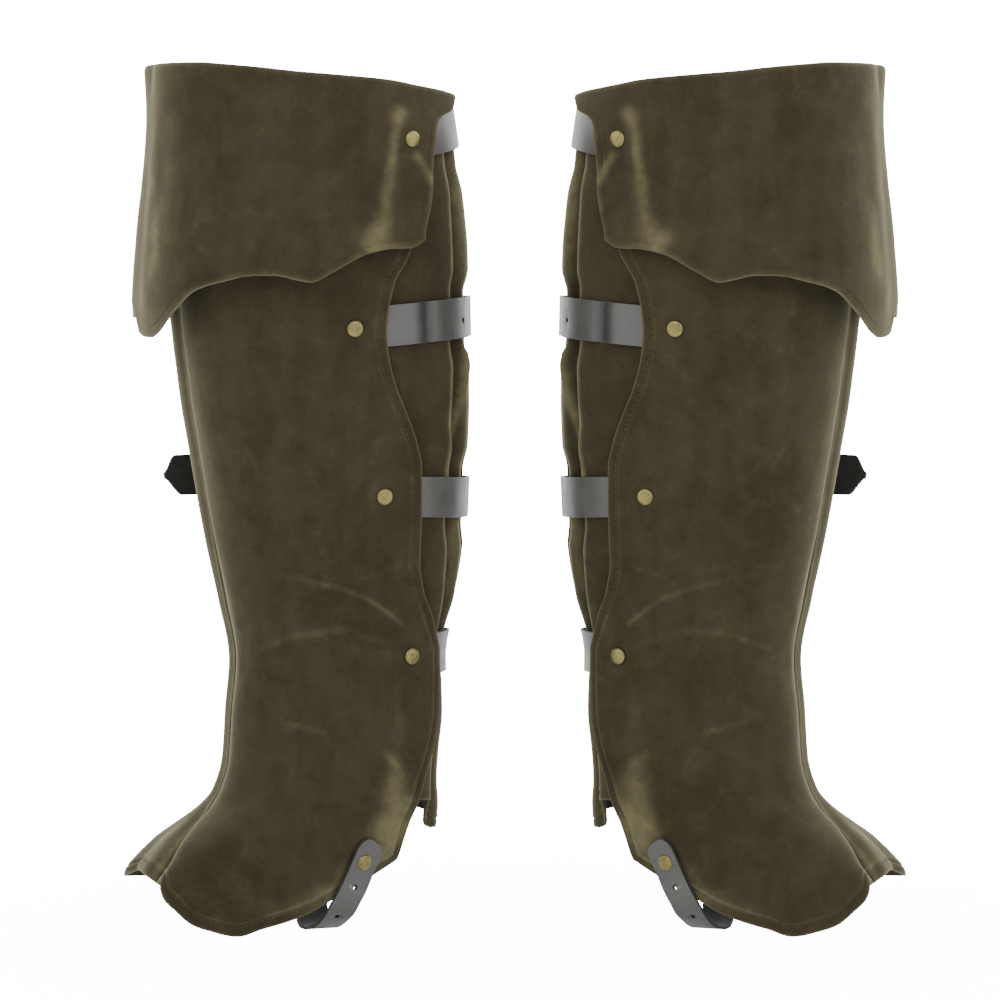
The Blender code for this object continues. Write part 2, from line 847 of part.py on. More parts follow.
def stirrup_route():
    """The stirrup strap's outer face: its middle, and the direction across it."""
    route = []
    for share, height, space in STIRRUP_OUTER + tuple((-row[0], *row[1:]) for row in STIRRUP_INNER):
        forward = -math.copysign(0.01, share)
        across = on_leg(share + forward, height) - on_leg(share - forward, height)
        route.append((on_leg(share, height, space + STRAP), across.normalized()))
    loop = []
    for forward, outward, height, turn in STIRRUP_LOOP:
        turn = math.radians(turn)
        loop.append((Vector((forward, outward, height)), Vector((math.cos(turn), math.sin(turn), 0))))
    first = len(STIRRUP_OUTER)
    return route[:first] + loop + route[first:]


def between(values, x):
    """A smooth curve through a list of vectors, with x from 0 to its last index."""
    i = min(len(values) - 2, int(x))
    s = x - i
    before, a, b = values[max(0, i - 1)], values[i], values[i + 1]
    after = values[min(len(values) - 1, i + 2)]
    return 0.5 * (
        2 * a
        + (b - before) * s
        + (2 * before - 5 * a + 4 * b - after) * s**2
        + (3 * a - before - 3 * b + after) * s**3
    )


def stirrup(side, prefix):
    route = stirrup_route()
    middles = [middle for middle, _ in route]
    directions = [across for _, across in route]
    last = len(route) - 1

    def frame(x):
        ahead = between(middles, min(last, x + 0.05)) - between(middles, max(0, x - 0.05))
        ahead.normalize()
        across = between(directions, x)
        across = (across - across.dot(ahead) * ahead).normalized()
        return between(middles, x), ahead, across

    def point_at(row, column):
        here, _, across = frame(last * row / STIRRUP_STEPS)
        end = min(row, STIRRUP_STEPS - row)
        width = STIRRUP_WIDTH * STIRRUP_END[min(end, len(STIRRUP_END) - 1)]
        return here + across * (0.5 - column) * width

    sheet(prefix + "stirrup_strap", "strap", side, STIRRUP_STEPS + 1, 2, point_at, STRAP)
    for x, label in ((2, "outer"), (last - 2, "inner")):
        here, ahead, across = frame(x)
        away = across.cross(ahead)
        if away.y * here.y < 0:
            away.negate()
        rivet(prefix + "stirrup_rivet_" + label, side, here + away * STIRRUP_RIVET_GAP, away)


def gaiter(side, prefix):
    outer_panel(side, prefix)
    inner_panel(side, prefix)
    cuff(side, prefix)
    for strap in LEG_STRAPS:
        name, rivet_share, rivet_height, *_ = strap
        cutter = slot_cutter(side, prefix, strap)
        cut(leg_strap(side, prefix, strap), cutter)
        cut(chape(side, prefix, strap), cutter)
        buckle_frame(side, prefix, strap)
        prong(side, prefix, strap)
        stand = SEAM_GAP
        if rivet_height > TOP_BLEND:
            stand += cuff_stand(rivet_share, top_of(rivet_share) - rivet_height)
        away = normal(rivet_share, rivet_height)
        base = on_leg(rivet_share, rivet_height, stand)
        rivet(prefix + "rivet_" + name, side, base, away)
        base = on_strap(strap, CHAPE_RIVET, 0, CHAPE_TOP + SEAM_GAP)
        away = on_strap(strap, CHAPE_RIVET, 0, CHAPE_TOP + 1 + SEAM_GAP) - base
        rivet(prefix + "chape_rivet_" + name, side, base, away)
    stirrup(side, prefix)


def main():
    for obj in list(bpy.data.objects):
        bpy.data.objects.remove(obj)
    for name in ("gaiters", "cutters"):
        collection = bpy.data.collections.new(name)
        bpy.context.scene.collection.children.link(collection)
    gaiter(-1, "left_")
    gaiter(1, "right_")


if __name__ == "__main__":
    main()
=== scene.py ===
"""The looks of a pair of tall faux leather gaiters: suede cloth with a turned-down cuff and a
pleated back, buckled straps, rivets, stitching and the straps under the feet.

A gaiter is drawn in millimetres about its own leg: forward is towards the toe, outward is away
from the other leg, and height is above the ground. Along a horizontal ring of the leg, share is 0
at the front seam, 1 at the back of the outer side, and negative on the inner side. Along the
inner panel, way is 0 at the front seam, 1 at the back, and more where it comes round to the outer
side and tucks under the outer panel.
"""

import bisect
import functools
import math

import bmesh
import bpy
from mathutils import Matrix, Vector, noise


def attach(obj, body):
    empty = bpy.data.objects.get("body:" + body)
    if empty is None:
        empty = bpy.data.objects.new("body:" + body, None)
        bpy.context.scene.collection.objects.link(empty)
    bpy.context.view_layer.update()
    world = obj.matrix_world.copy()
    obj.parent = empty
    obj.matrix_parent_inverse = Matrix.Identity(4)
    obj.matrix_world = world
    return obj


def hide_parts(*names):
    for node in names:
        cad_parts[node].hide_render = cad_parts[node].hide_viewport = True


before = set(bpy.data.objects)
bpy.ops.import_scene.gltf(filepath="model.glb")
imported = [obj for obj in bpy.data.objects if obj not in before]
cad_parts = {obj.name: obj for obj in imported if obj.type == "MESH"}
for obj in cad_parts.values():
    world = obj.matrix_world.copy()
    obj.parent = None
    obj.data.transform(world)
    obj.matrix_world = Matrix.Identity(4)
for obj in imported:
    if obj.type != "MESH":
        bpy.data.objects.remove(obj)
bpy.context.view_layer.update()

bl_info = {
    "name": "Tall gaiters",
    "version": (1, 0, 0),
    "blender": (4, 5, 0),
    "location": "View3D > Sidebar > Gaiters",
    "description": "Builds a pair of tall suede gaiters with buckled straps",
    "category": "Add Mesh",
}

MM = 0.001
BODY = "root"
HELD_HEIGHT = 380.0
LEG_SPACING = 115.0
TOE_OUT = math.radians(17)
SIDES = ((-1, "left_"), (1, "right_"))

# The leg's horizontal sections. widest is where along forward the section is widest, and
# front_square and back_square are 2 for an ellipse and more for a squarer end.
SECTIONS = (
    # height, front, back, widest, half_width, front_square, back_square, seam_dip
    (0, 141, -65, 45, 62, 3.6, 2.0, 22),
    (20, 137.5, -66, 45, 61, 3.6, 2.0, 20),
    (40, 129, -68, 42, 59, 3.6, 2.0, 18),
    (60, 111, -69, 32, 55, 3.2, 2.1, 12),
    (72, 95, -70, 22, 52, 2.8, 2.2, 7),
    (82, 82, -71, 14, 50, 2.5, 2.2, 4),
    (92, 74, -71.5, 8, 49, 2.3, 2.2, 3),
    (112, 68, -73, 2, 48, 2.3, 2.2, 3),
    (141, 66, -75.5, 0, 47, 2.3, 2.2, 3),
    (174, 63, -74.5, -2, 48, 2.3, 2.2, 3),
    (209, 69, -82.5, -3, 51, 2.4, 2.2, 3),
    (246, 76.5, -87.5, -2, 55, 2.6, 2.2, 3.5),
    (291, 84.5, -89.3, 0, 59, 2.8, 2.2, 4),
    (335, 91.5, -91, 3, 62, 2.9, 2.2, 4),
    (380, 97, -90, 6, 64, 2.9, 2.2, 4),
    (432, 101.5, -89, 9, 66, 2.8, 2.2, 4),
    (481, 105.5, -84.5, 13, 68, 2.7, 2.2, 3),
    (545, 110, -75.5, 17, 70, 2.6, 2.2, 2),
)
RING_STEPS = 72
NEAR_SHARE, NEAR_HEIGHT = 0.006, 3
SEAM_WIDTH = 9.0
TOE_SEAM_WIDTH = 21.0
TOE_TOP = 95.0
TOE_RISE = 50.0
HEEL_RISE = 75.0
HEEL_LENGTH = 75.0
HEEL_PINCH = 20.0
HEEL_PINCH_TO = 50.0
HEEL_ROUND = 30.0

# At the toe the front seam runs round to the outer side, in a fold of its own.
SEAM_LINE = (
    # height, share of the front seam
    (44, 0.135),
    (52, 0.125),
    (60, 0.100),
    (68, 0.060),
    (76, 0.018),
    (84, 0.0),
)
TOE_FOLD = 6.0
TOE_FOLD_WIDTH = 8.0
TOE_FOLD_TOP = 90.0
TOE_FOLD_RISE = 26.0
SEAM_LAP = 1.6
SEAM_MOVED_TO = 0.30
TOE_FILL = 26.0
TOE_CURL = -2.2

# The inner panel lies inside the straps, and the straps lie inside the outer panel.
TUCK_DEPTH = 5.6
TUCK_FROM, TUCK_FULL = 0.72, 1.02
BACK_TOP = 509.0
BACK_TOP_FROM, BACK_TOP_FULL = 0.78, 0.86
# Strap 2 sinks between the outer panel's edge and the first pleat, and painted shade darkens it
# there.
DENT = 1.6
DENT_SHARE = 0.722
DENT_HALF = 5.5
STRAP_STAND = 2.9

OUTER_EDGE = (
    # height, share of the outer panel's rear edge
    (0, 0.80),
    (50, 0.790),
    (62, 0.777),
    (74, 0.765),
    (94, 0.770),
    (124, 0.813),
    (140, 0.824),
    (165, 0.828),
    (178, 0.824),
    (187, 0.795),
    (202, 0.746),
    (216, 0.706),
    (236, 0.684),
    (270, 0.687),
    (293, 0.687),
    (307, 0.674),
    (323, 0.650),
    (344, 0.617),
    (361, 0.603),
    (374, 0.600),
    (386, 0.605),
    (406, 0.625),
    (426, 0.669),
    (470, 0.695),
    (495, 0.730),
    (507, 0.760),
    (522, 0.82),
)
OUTER_HEM = (
    # share, height
    (0.0, 44.6),
    (0.164, 44.6),
    (0.191, 37.0),
    (0.207, 32.5),
    (0.243, 25.6),
    (0.284, 17.6),
    (0.31, 14.8),
    (0.388, 9.8),
    (0.435, 13.5),
    (0.48, 16.6),
    (0.553, 22.3),
    (0.608, 28.1),
    (0.704, 37.6),
    (0.79, 48.8),
)
INNER_HEM = (
    # way, height
    (0.0, 44.6),
    (0.02, 45.0),
    (0.10, 46.5),
    (0.15, 43.0),
    (0.20, 37.5),
    (0.30, 33.0),
    (0.45, 26.0),
    (0.60, 32.0),
    (0.70, 42.0),
    (0.80, 56.0),
    (0.86, 68.0),
    (0.90, 75.0),
    (0.96, 74.0),
    (1.00, 67.0),
    (1.06, 65.8),
    (1.15, 66.5),
    (1.17, 70.0),
    (1.19, 84.0),
    (1.45, 86.0),
)
TOP_LINE = (
    # share, height of the fold
    (0.0, 539.2),
    (0.20, 538.8),
    (0.26, 537.6),
    (0.34, 535.7),
    (0.42, 533.4),
    (0.50, 531.9),
    (0.647, 528.8),
    (0.712, 526.1),
    (0.792, 523.5),
    (0.864, 521.0),
    (1.0, 517.2),
)
INNER_LAST = 1.45
CUFF_REACH = 3.8
CUFF_TIGHT = 0.12
CUFF_TIGHT_FROM = 0.78
CUFF_CURVE = 1.2
CUFF_FILL = 0.95
CUFF_FILLED_AT = 30.0
CUFF_EASE = 0.02
CUFF_FLARE = (
    # drop below the fold, stand
    (0, 0.0),
    (20, 0.8),
    (60, 5.5),
    (110, 14.0),
    (140, 18.0),
    (165, 19.5),
)
CUFF_HEM = (
    # share, height
    (0.0, 377.0),
    (0.045, 375.2),
    (0.07, 375.0),
    (0.10, 378.0),
    (0.146, 390.6),
    (0.189, 402.7),
    (0.226, 406.8),
    (0.30, 411.1),
    (0.338, 411.0),
    (0.38, 408.5),
    (0.412, 406.9),
    (0.461, 412.5),
    (0.548, 423.7),
    (0.605, 426.6),
    (0.656, 427.1),
    (0.693, 431.9),
)
CUFF_REAR = (
    # height, share
    (425, 0.690),
    (437, 0.695),
    (450, 0.711),
    (459, 0.721),
    (476, 0.732),
    (493, 0.748),
    (503, 0.760),
    (507, 0.777),
    (511, 0.82),
    (520, 0.85),
)
FOLD = (
    # out, drop below the fold's top, from inside the leg over to the outside
    (-1.8, 5.2),
    (-1.8, 3.8),
    (-1.75, 2.6),
    (-1.4, 1.4),
    (-0.8, 0.6),
    (0.0, 0.15),
    (1.0, 0.0),
    (2.0, 0.15),
    (2.8, 0.6),
    (3.4, 1.5),
    (3.8, 2.8),
)
INNER_CUFF = 0.86
CUFF_PAST_FRONT = 13.0

# How the ends of a column are found: the first guess of the rear edge's share, and the rounds.
EDGE_GUESS = 0.75
SETTLE_ROUNDS = 11

PLEATS = (
    # ridge way, trough width, depth
    (1.19, -0.08, 7.0),
    (1.09, -0.12, 8.0),
    (0.83, 0.12, 7.0),
)
PLEAT_SWAY = (
    # height, how far the ridges move towards the front of the outer side
    (150, -0.045),
    (185, -0.034),
    (210, -0.004),
    (254, 0.016),
    (334, 0.014),
    (395, -0.004),
    (438, -0.002),
    (481, -0.012),
    (540, -0.014),
)
SWAY_FROM, SWAY_FULL = 0.97, 1.09
PLEAT_RISE = 0.2
RIDGE_HIGHLIGHT, RIDGE_WIDTH = 0.75, 2.6
PLEAT_FADE = (
    # height, share of the full depth
    (60, 0.45),
    (110, 0.55),
    (176, 0.55),
    (230, 0.95),
    (300, 1.0),
    (480, 1.0),
    (520, 0.8),
)
BACK_BULGE = (
    # height, out, between the straps
    (66, 4.5),
    (76, 2.5),
    (90, 0.8),
    (105, 0.0),
    (192, 0.0),
    (212, 1.5),
    (240, 2.2),
    (256, 0.0),
    (289, 0.0),
    (305, 3.0),
    (352, 3.0),
    (369, 0.0),
    (401, 0.0),
    (415, 2.6),
    (460, 2.2),
    (477, 0.0),
)
BULGE_FROM, BULGE_FULL = 0.90, 1.00

# Soft folds and creases of the cloth. rise is how far the cloth stands out along the line,
# and wear is how pale it is painted there: partly rubbed nap, partly a painted highlight where the
# ridge catches the light.
OUTER_CREASES = (
    # share_a, height_a, share_b, height_b, width, rise, wear and painted highlight
    (0.25, 228, 0.33, 226, 2.6, 0.35, 0.16),
    (0.33, 226, 0.454, 218.6, 2.4, 0.50, 0.26),
    (0.454, 218.6, 0.529, 212, 2.4, 0.55, 0.30),
    (0.529, 212, 0.64, 196.5, 2.2, 0.50, 0.32),
    (0.49, 224, 0.62, 233, 2.6, 0.35, 0.18),
    (0.183, 182.6, 0.312, 191, 2.6, 0.40, 0.24),
    (0.312, 191, 0.453, 194, 2.8, 0.40, 0.20),
    (0.453, 194, 0.60, 185, 2.4, 0.30, 0.14),
    (0.22, 314, 0.26, 289, 2.4, 0.25, 0.20),
    (0.26, 289, 0.31, 262, 2.4, 0.20, 0.12),
    (0.26, 138, 0.40, 131, 2.8, 0.40, 0.24),
    (0.40, 131, 0.45, 114, 2.8, 0.35, 0.16),
    (0.60, 118, 0.66, 108, 2.6, 0.30, 0.18),
    (0.10, 172, 0.30, 160, 7.0, -0.80, 0.0),
    (0.12, 200, 0.30, 207, 7.0, -0.70, 0.0),
    (0.36, 120, 0.58, 98, 9.0, 0.80, 0.10),
    (0.20, 108, 0.40, 92, 8.0, -0.90, 0.0),
    (0.56, 150, 0.66, 128, 8.0, 0.70, 0.06),
    (0.30, 352, 0.44, 300, 14.0, -0.80, 0.0),
    (0.12, 330, 0.20, 262, 12.0, 0.60, 0.06),
    (0.50, 300, 0.60, 236, 12.0, 0.60, 0.06),
)
CUFF_CREASES = (
    # share_a, height_a, share_b, height_b, width, rise, wear and painted highlight
    (0.655, 509, 0.632, 494, 4.0, 1.5, 0.42),
    (0.632, 494, 0.612, 470, 4.0, 2.0, 0.54),
    (0.612, 470, 0.590, 444, 5.0, 1.8, 0.42),
    (0.590, 444, 0.560, 430, 7.0, 1.2, 0.36),
    (0.668, 482, 0.645, 452, 6.0, -2.0, 0.0),
    (0.645, 452, 0.632, 436, 6.0, -0.7, 0.0),
    (0.690, 483, 0.716, 468, 3.5, 1.4, 0.50),
    (0.716, 468, 0.712, 450, 3.5, 0.7, 0.12),
    (0.36, 480, 0.30, 430, 22.0, 0.8, 0.0),
    (0.50, 470, 0.46, 425, 14.0, -0.7, 0.0),
    (0.11, 500, 0.09, 410, 9.0, -0.9, 0.0),
    (0.05, 470, 0.06, 400, 8.0, 0.7, 0.10),
)
# Pale patches of the outer panel: painted sheen where the cloth turns away, most at the heel, with
# some rubbed nap.
OUTER_SHEEN_AND_WEAR = (
    # share, height, half_across, half_up, painted sheen and wear
    (0.054, 224, 4, 16, 0.45),
    (0.07, 205, 4, 12, 0.30),
    (0.65, 98, 12, 22, 0.46),
    (0.70, 74, 13, 18, 0.78),
    (0.74, 60, 9, 15, 0.60),
    (0.655, 44, 16, 9, 0.50),
    (0.59, 32, 20, 7, 0.42),
    (0.50, 25, 24, 6, 0.20),
    (0.64, 140, 9, 22, 0.14),
    (0.10, 275, 6, 30, 0.14),
    (0.72, 180, 7, 30, 0.18),
    (0.33, 196, 26, 7, 0.12),
    (0.50, 182, 30, 9, 0.10),
)
# Pale patches of the cuff: painted sheen down its front and near its rear, where it turns away,
# with some rubbed nap.
CUFF_SHEEN_AND_WEAR = (
    # share, height, half_across, half_up, painted sheen and wear
    (0.085, 440, 5, 16, 0.50),
    (0.076, 414, 5, 12, 0.38),
    (0.055, 468, 5, 15, 0.30),
    (0.100, 424, 4, 12, 0.26),
    (0.03, 398, 8, 16, 0.26),
    (0.030, 500, 9, 16, 0.20),
    (0.570, 434, 15, 8, 0.38),
    (0.655, 508, 14, 7, 0.26),
    (0.12, 480, 9, 14, 0.12),
    (-0.11, 452, 6, 22, 0.26),
    (-0.055, 405, 5, 14, 0.30),
    (-0.50, 436, 20, 8, 0.26),
    (-0.62, 505, 14, 8, 0.22),
)
CREASE_GIRTH = 250.0
CREASE_END = 0.4  # how far past its ends a crease runs out, as a share of its length
CREASE_REACH = 3  # how many widths away a crease still shows
SLACK_WAVES = (
    # across, up, rise, shift of the seed
    (46, 62, 0.62, 0),
    (15, 19, 0.16, 7),
)
# Pale patches of the inner panel: painted sheen down the back, where the cloth turns away, with
# some rubbed nap.
INNER_SHEEN_AND_WEAR = (
    # way, height, half_across, half_up, painted sheen and wear
    (1.12, 455, 8, 46, 0.62),
    (1.11, 340, 6, 60, 0.36),
    (1.13, 235, 8, 50, 0.30),
    (1.12, 110, 8, 60, 0.26),
    (1.04, 400, 9, 90, 0.30),
    (0.05, 100, 8, 60, 0.16),
    (0.06, 60, 14, 8, 0.20),
    (0.60, 60, 20, 30, 0.18),
)
INNER_CREASES = (
    # way_a, height_a, way_b, height_b, width, rise, wear and painted highlight
    (1.105, 362, 1.165, 312, 3.4, 2.4, 0.50),
    (1.165, 312, 1.195, 280, 3.4, 1.9, 0.45),
    (1.150, 352, 1.185, 318, 5.0, -1.4, 0.0),
    (1.060, 470, 1.085, 408, 6.0, 1.0, 0.25),
    (1.020, 340, 1.035, 296, 7.0, -1.0, 0.0),
    (1.120, 268, 1.155, 215, 6.0, 0.9, 0.20),
    (0.965, 262, 0.990, 200, 7.0, 0.8, 0.15),
    (0.20, 215, 0.42, 205, 3.0, 0.45, 0.26),
    (0.28, 196, 0.50, 188, 3.0, 0.40, 0.22),
    (0.15, 120, 0.34, 104, 4.0, 0.50, 0.22),
)

LEG_STRAPS = (
    # name, rivet_share, rivet_height, back_height, buckle_height, buckle_way, tail, free_from
    ("1", 0.681, 493.0, 503.0, 498.0, 0.84, 42.0, 42.0),
    ("2", 0.522, 378.0, 385.0, 380.0, 0.52, 78.0, 78.0),
    ("3", 0.579, 275.3, 272.0, 286.0, 0.44, 85.0, 40.0),
    ("4", 0.692, 176.2, 176.2, 172.0, 0.50, 55.0, 34.0),
)
STRAP_TIP = 0.15
STRAP_POINT = 11.0
STRAP_POINT_BOW = 1.15
STRAP_END_NARROWS, STRAP_END_ROUND = 0.12, 1.2
STATION, BUCKLE_STATION = 3.0, 1.6
FAR = 99.0  # past all ends
RIVET_TO_END = 9.0
RIVETED_ON_CUFF = 488.0
BUCKLE_LENGTH = 20.0
BUCKLE_WIDTH = 31.0
BUCKLE_CORNER = 4.0
BUCKLE_OUT = 4.3
WIRE = 1.3
PRONG = 1.0
PRONG_REACH = 2.6
CHAPE = 1.6
CHAPE_WIDTH = 24.0
CHAPE_RIVET = -19.0
CHAPE_TOP = 4.4
SEAM_GAP = 0.3
STRAP_AT_BUCKLE = (
    # behind, out of the strap's outer face
    (-44.0, 2.7),
    (-36.0, 4.4),
    (-30.0, 6.6),
    (-24.0, 8.2),
    (-16.0, 9.2),
    (-10.0, 9.8),
    (-4.0, 10.4),
    (0.0, 10.4),
    (3.0, 9.6),
    (7.0, 7.3),
    (11.0, 5.0),
    (15.0, 3.3),
    (20.0, 2.7),
)
SLOT_BEHIND = (-5.0, 11.3)
SLOT_OUT = (0.3, 8.1)
SLOT_WIDTH = 3.6
STIRRUP_OUTER = (
    # share, height, space under it
    (0.690, 69.5, 0.8),
    (0.677, 61.0, 0.8),
    (0.668, 50.3, 0.8),
    (0.668, 41.8, 1.5),
    (0.654, 34.0, 2.3),
)
STIRRUP_LOOP = (
    # forward, outward, height, turn of its face in plan, in degrees
    (4.0, 48.5, 23.0, 28.0),
    (8.0, 39.5, 11.5, 18.0),
    (11.0, 20.0, 6.0, 6.0),
    (11.0, 0.0, 4.5, 0.0),
    (7.0, -20.0, 8.5, -8.0),
    (2.0, -38.0, 20.0, -24.0),
)
STIRRUP_INNER = (
    # way, height, space under it
    (0.645, 32.0, 2.6),
    (0.655, 40.0, 2.0),
    (0.670, 50.0, 1.3),
    (0.685, 60.0, 0.9),
    (0.692, 67.0, 0.9),
)
STIRRUP_ROUND = 9.0

# A hole is a half length, a half width and a half depth. TAIL_HOLES are behind the heel bar.
HOLE_SIDES = 20
TAIL_HOLE = (1.6, 1.6, 2.2)
STIRRUP_HOLE = (1.6, 1.6, 2.6)
TAIL_HOLES = (-18.0, -30.0, -42.0)
STRAP_2_HOLE = (0.862, 382.5)
STIRRUP_HOLES = (3.85, 5.6, 7.2, 8.9)
STIRRUP_ENDS = (0.85, 0.6)
STIRRUP_EASE = 9
STIRRUP_STATIONS = 120
STIRRUP_TIP = 0.38
STIRRUP_RIVET = 2
UNDER_FOOT = 30  # half the width across which the strap faces down

# A rivet's cap of radius 1 and height 1: radius and height, outwards from its middle.
CAP_PROFILE = (
    (0.35, 0.99),
    (0.62, 0.95),
    (0.80, 0.84),
    (0.91, 0.66),
    (0.97, 0.42),
    (1.0, 0.18),
    (1.0, -0.25),
)
CAP_SIDES = 32
RIVET_STAND = 0.1

# Small touches of colour: the nap on a cut edge, the painted shade in a strap's dent, its scuffs
# and its underside.
FUZZ = (0.125, 0.110, 0.062)
DENT_SHADE = (0.008, 0.008, 0.008)
SCUFF = (0.135, 0.135, 0.130)
FLESH_DARK = (0.012, 0.012, 0.010)
FLESH = (0.030, 0.030, 0.026)

# How the cloth's grid closes up beside an edge, in mm from it.
HEM_STEPS = (0.0, 0.6, 1.6, 3.0, 4.2, 4.9, 5.4, 5.9, 6.6, 7.8, 9.4, 11.5)
SEAM_STEPS = (0.0, 0.5, 1.1, 1.9, 3.0, 4.4, 6.2, 8.4)
PLAIN_STEPS = (0.0, 1.0, 2.5)
NO_STEPS = (0.0,)

# The lengths that the even grids are counted out in, before each is fitted to its place.
OUTER_GRID = (490.0, 170.0)
INNER_GRID = (450.0, 245.0)
CUFF_GRID = (140.0, 185.0)
BACK_GRAIN = 1.25

# A turned hem stands up by HEM_DOUBLED as far as HEM_DEPTH, and its stitches pull it in.
HEM_DEPTH = 7.2
HEM_STEP = 1.8
HEM_DOUBLED = 0.35
HEM_PULL = 0.55
HEM_PULL_WIDTH = 0.8
STITCH_IN = 5.4
THREAD_STAND = 0.12
STITCH_STEP = 3
REAR_STITCHES = (508.0, 62)  # from height, to height
OUTER_STITCHES = (0.775, 36, 150)  # last share, first step, steps
INNER_STITCHES = (1.16, 4, 230)  # last way, first step, steps
CUT_EDGE = 0.75
HEM_QUIET = 12
RIVET_DENT, RIVET_DENT_SPREAD = 0.5, 90
SEAM_GROOVE = 1.3
EDGE_ROUND = 0.28
EDGE_ANGLE = math.radians(50)

# A strap's grid: its columns as shares of its width, and the depth of its rubbed edge.
BAND_COLUMNS = (0.5, 0.46, 0.3, 0.0, -0.3, -0.46, -0.5)
BAND_RUBBED = 1.2


class GaiterSizes(bpy.types.PropertyGroup):
    """Sizes of the cloth, the straps and the thread."""

    cloth: bpy.props.FloatProperty(
        name="Cloth", description="Thickness of the suede", default=1.8 * MM, unit="LENGTH"
    )
    grain: bpy.props.FloatProperty(
        name="Cloth grid",
        description="Spacing of the cloth's grid",
        default=1.9 * MM,
        unit="LENGTH",
    )
    strap_width: bpy.props.FloatProperty(
        name="Strap width", description="Width of every strap", default=25 * MM, unit="LENGTH"
    )
    stirrup_width: bpy.props.FloatProperty(
        name="Stirrup width",
        description="Width of the straps under the feet",
        default=20 * MM,
        unit="LENGTH",
    )
    strap: bpy.props.FloatProperty(
        name="Strap", description="Thickness of the straps", default=2.0 * MM, unit="LENGTH"
    )
    rivet_radius: bpy.props.FloatProperty(
        name="Rivet radius", description="Radius of a rivet's cap", default=5.2 * MM, unit="LENGTH"
    )
    rivet_height: bpy.props.FloatProperty(
        name="Rivet height", description="Height of a rivet's cap", default=1.5 * MM, unit="LENGTH"
    )
    thread: bpy.props.FloatProperty(
        name="Thread", description="Radius of the thread", default=0.24 * MM, unit="LENGTH"
    )
    stitch: bpy.props.FloatProperty(
        name="Stitch", description="Length of one stitch", default=2.5 * MM, unit="LENGTH"
    )
    pitch: bpy.props.FloatProperty(
        name="Stitch pitch", description="From stitch to stitch", default=3.3 * MM, unit="LENGTH"
    )


class GaiterColours(bpy.types.PropertyGroup):
    """Colours of the suede, the straps, the metal and the thread."""

    suede_dark: bpy.props.FloatVectorProperty(
        name="Suede, dark",
        description="Nap lying down",
        default=(0.0245, 0.0198, 0.0100),
        subtype="COLOR",
    )
    suede: bpy.props.FloatVectorProperty(
        name="Suede",
        description="The cloth's main colour",
        default=(0.0445, 0.0368, 0.0194),
        subtype="COLOR",
    )
    # The pale nap colour, used for rubbed nap and for painted sheen and highlights.
    suede_pale: bpy.props.FloatVectorProperty(
        name="Suede, worn and sheen", description="Rubbed nap and painted sheen", default=(0.215, 0.195, 0.098), subtype="COLOR"
    )
    backing: bpy.props.FloatVectorProperty(
        name="Backing",
        description="Inside of the cloth",
        default=(0.075, 0.068, 0.048),
        subtype="COLOR",
    )
    strap: bpy.props.FloatVectorProperty(
        name="Strap",
        description="Smooth face of the straps",
        default=(0.074, 0.074, 0.0690),
        subtype="COLOR",
    )
    brass: bpy.props.FloatVectorProperty(
        name="Brass",
        description="Rivets and buckles",
        default=(0.255, 0.222, 0.082),
        subtype="COLOR",
    )
    thread: bpy.props.FloatVectorProperty(
        name="Thread", description="Sewing thread", default=(0.045, 0.038, 0.020), subtype="COLOR"
    )


class StageSettings(bpy.types.PropertyGroup):
    """The floor, the lights and the camera."""

    floor: bpy.props.FloatVectorProperty(
        name="Floor", description="Colour of the floor", default=(0.92, 0.92, 0.92), subtype="COLOR"
    )
    backdrop: bpy.props.FloatProperty(
        name="Backdrop",
        description="Brightness of the backdrop as it is seen",
        default=20.0,
        min=0.0,
    )
    floor_glow: bpy.props.FloatProperty(
        name="Floor glow",
        description="Share of the backdrop's brightness that the near floor shows",
        default=0.75,
        min=0.0,
        max=1.0,
        subtype="FACTOR",
    )
    front: bpy.props.FloatProperty(
        name="Front", description="Light from the front surround", default=0.5, min=0.0
    )
    sides: bpy.props.FloatProperty(
        name="Sides", description="Light from the bright panels at both sides", default=2.2, min=0.0
    )
    behind: bpy.props.FloatProperty(
        name="Behind", description="Light from the surround behind the pair", default=2.4, min=0.0
    )
    key: bpy.props.FloatProperty(
        name="Key light", description="Power of the front light", default=30.0, unit="POWER"
    )
    distance: bpy.props.FloatProperty(
        name="Camera distance",
        description="From the camera to the pair",
        default=3.0,
        unit="LENGTH",
    )
    elevation: bpy.props.FloatProperty(
        name="Camera elevation",
        description="How far the camera looks down",
        default=math.radians(3),
        subtype="ANGLE",
    )
    field: bpy.props.FloatProperty(
        name="Field", description="Width of the view at the pair", default=0.62, unit="LENGTH"
    )
    aim: bpy.props.FloatProperty(
        name="Aim", description="Height that the camera looks at", default=-0.1091, unit="LENGTH"
    )
    shift: bpy.props.FloatProperty(
        name="Shift", description="Sideways shift of the view", default=-0.015
    )


def sizes():
    return bpy.context.scene.gaiter_sizes


def colours():
    return bpy.context.scene.gaiter_colours


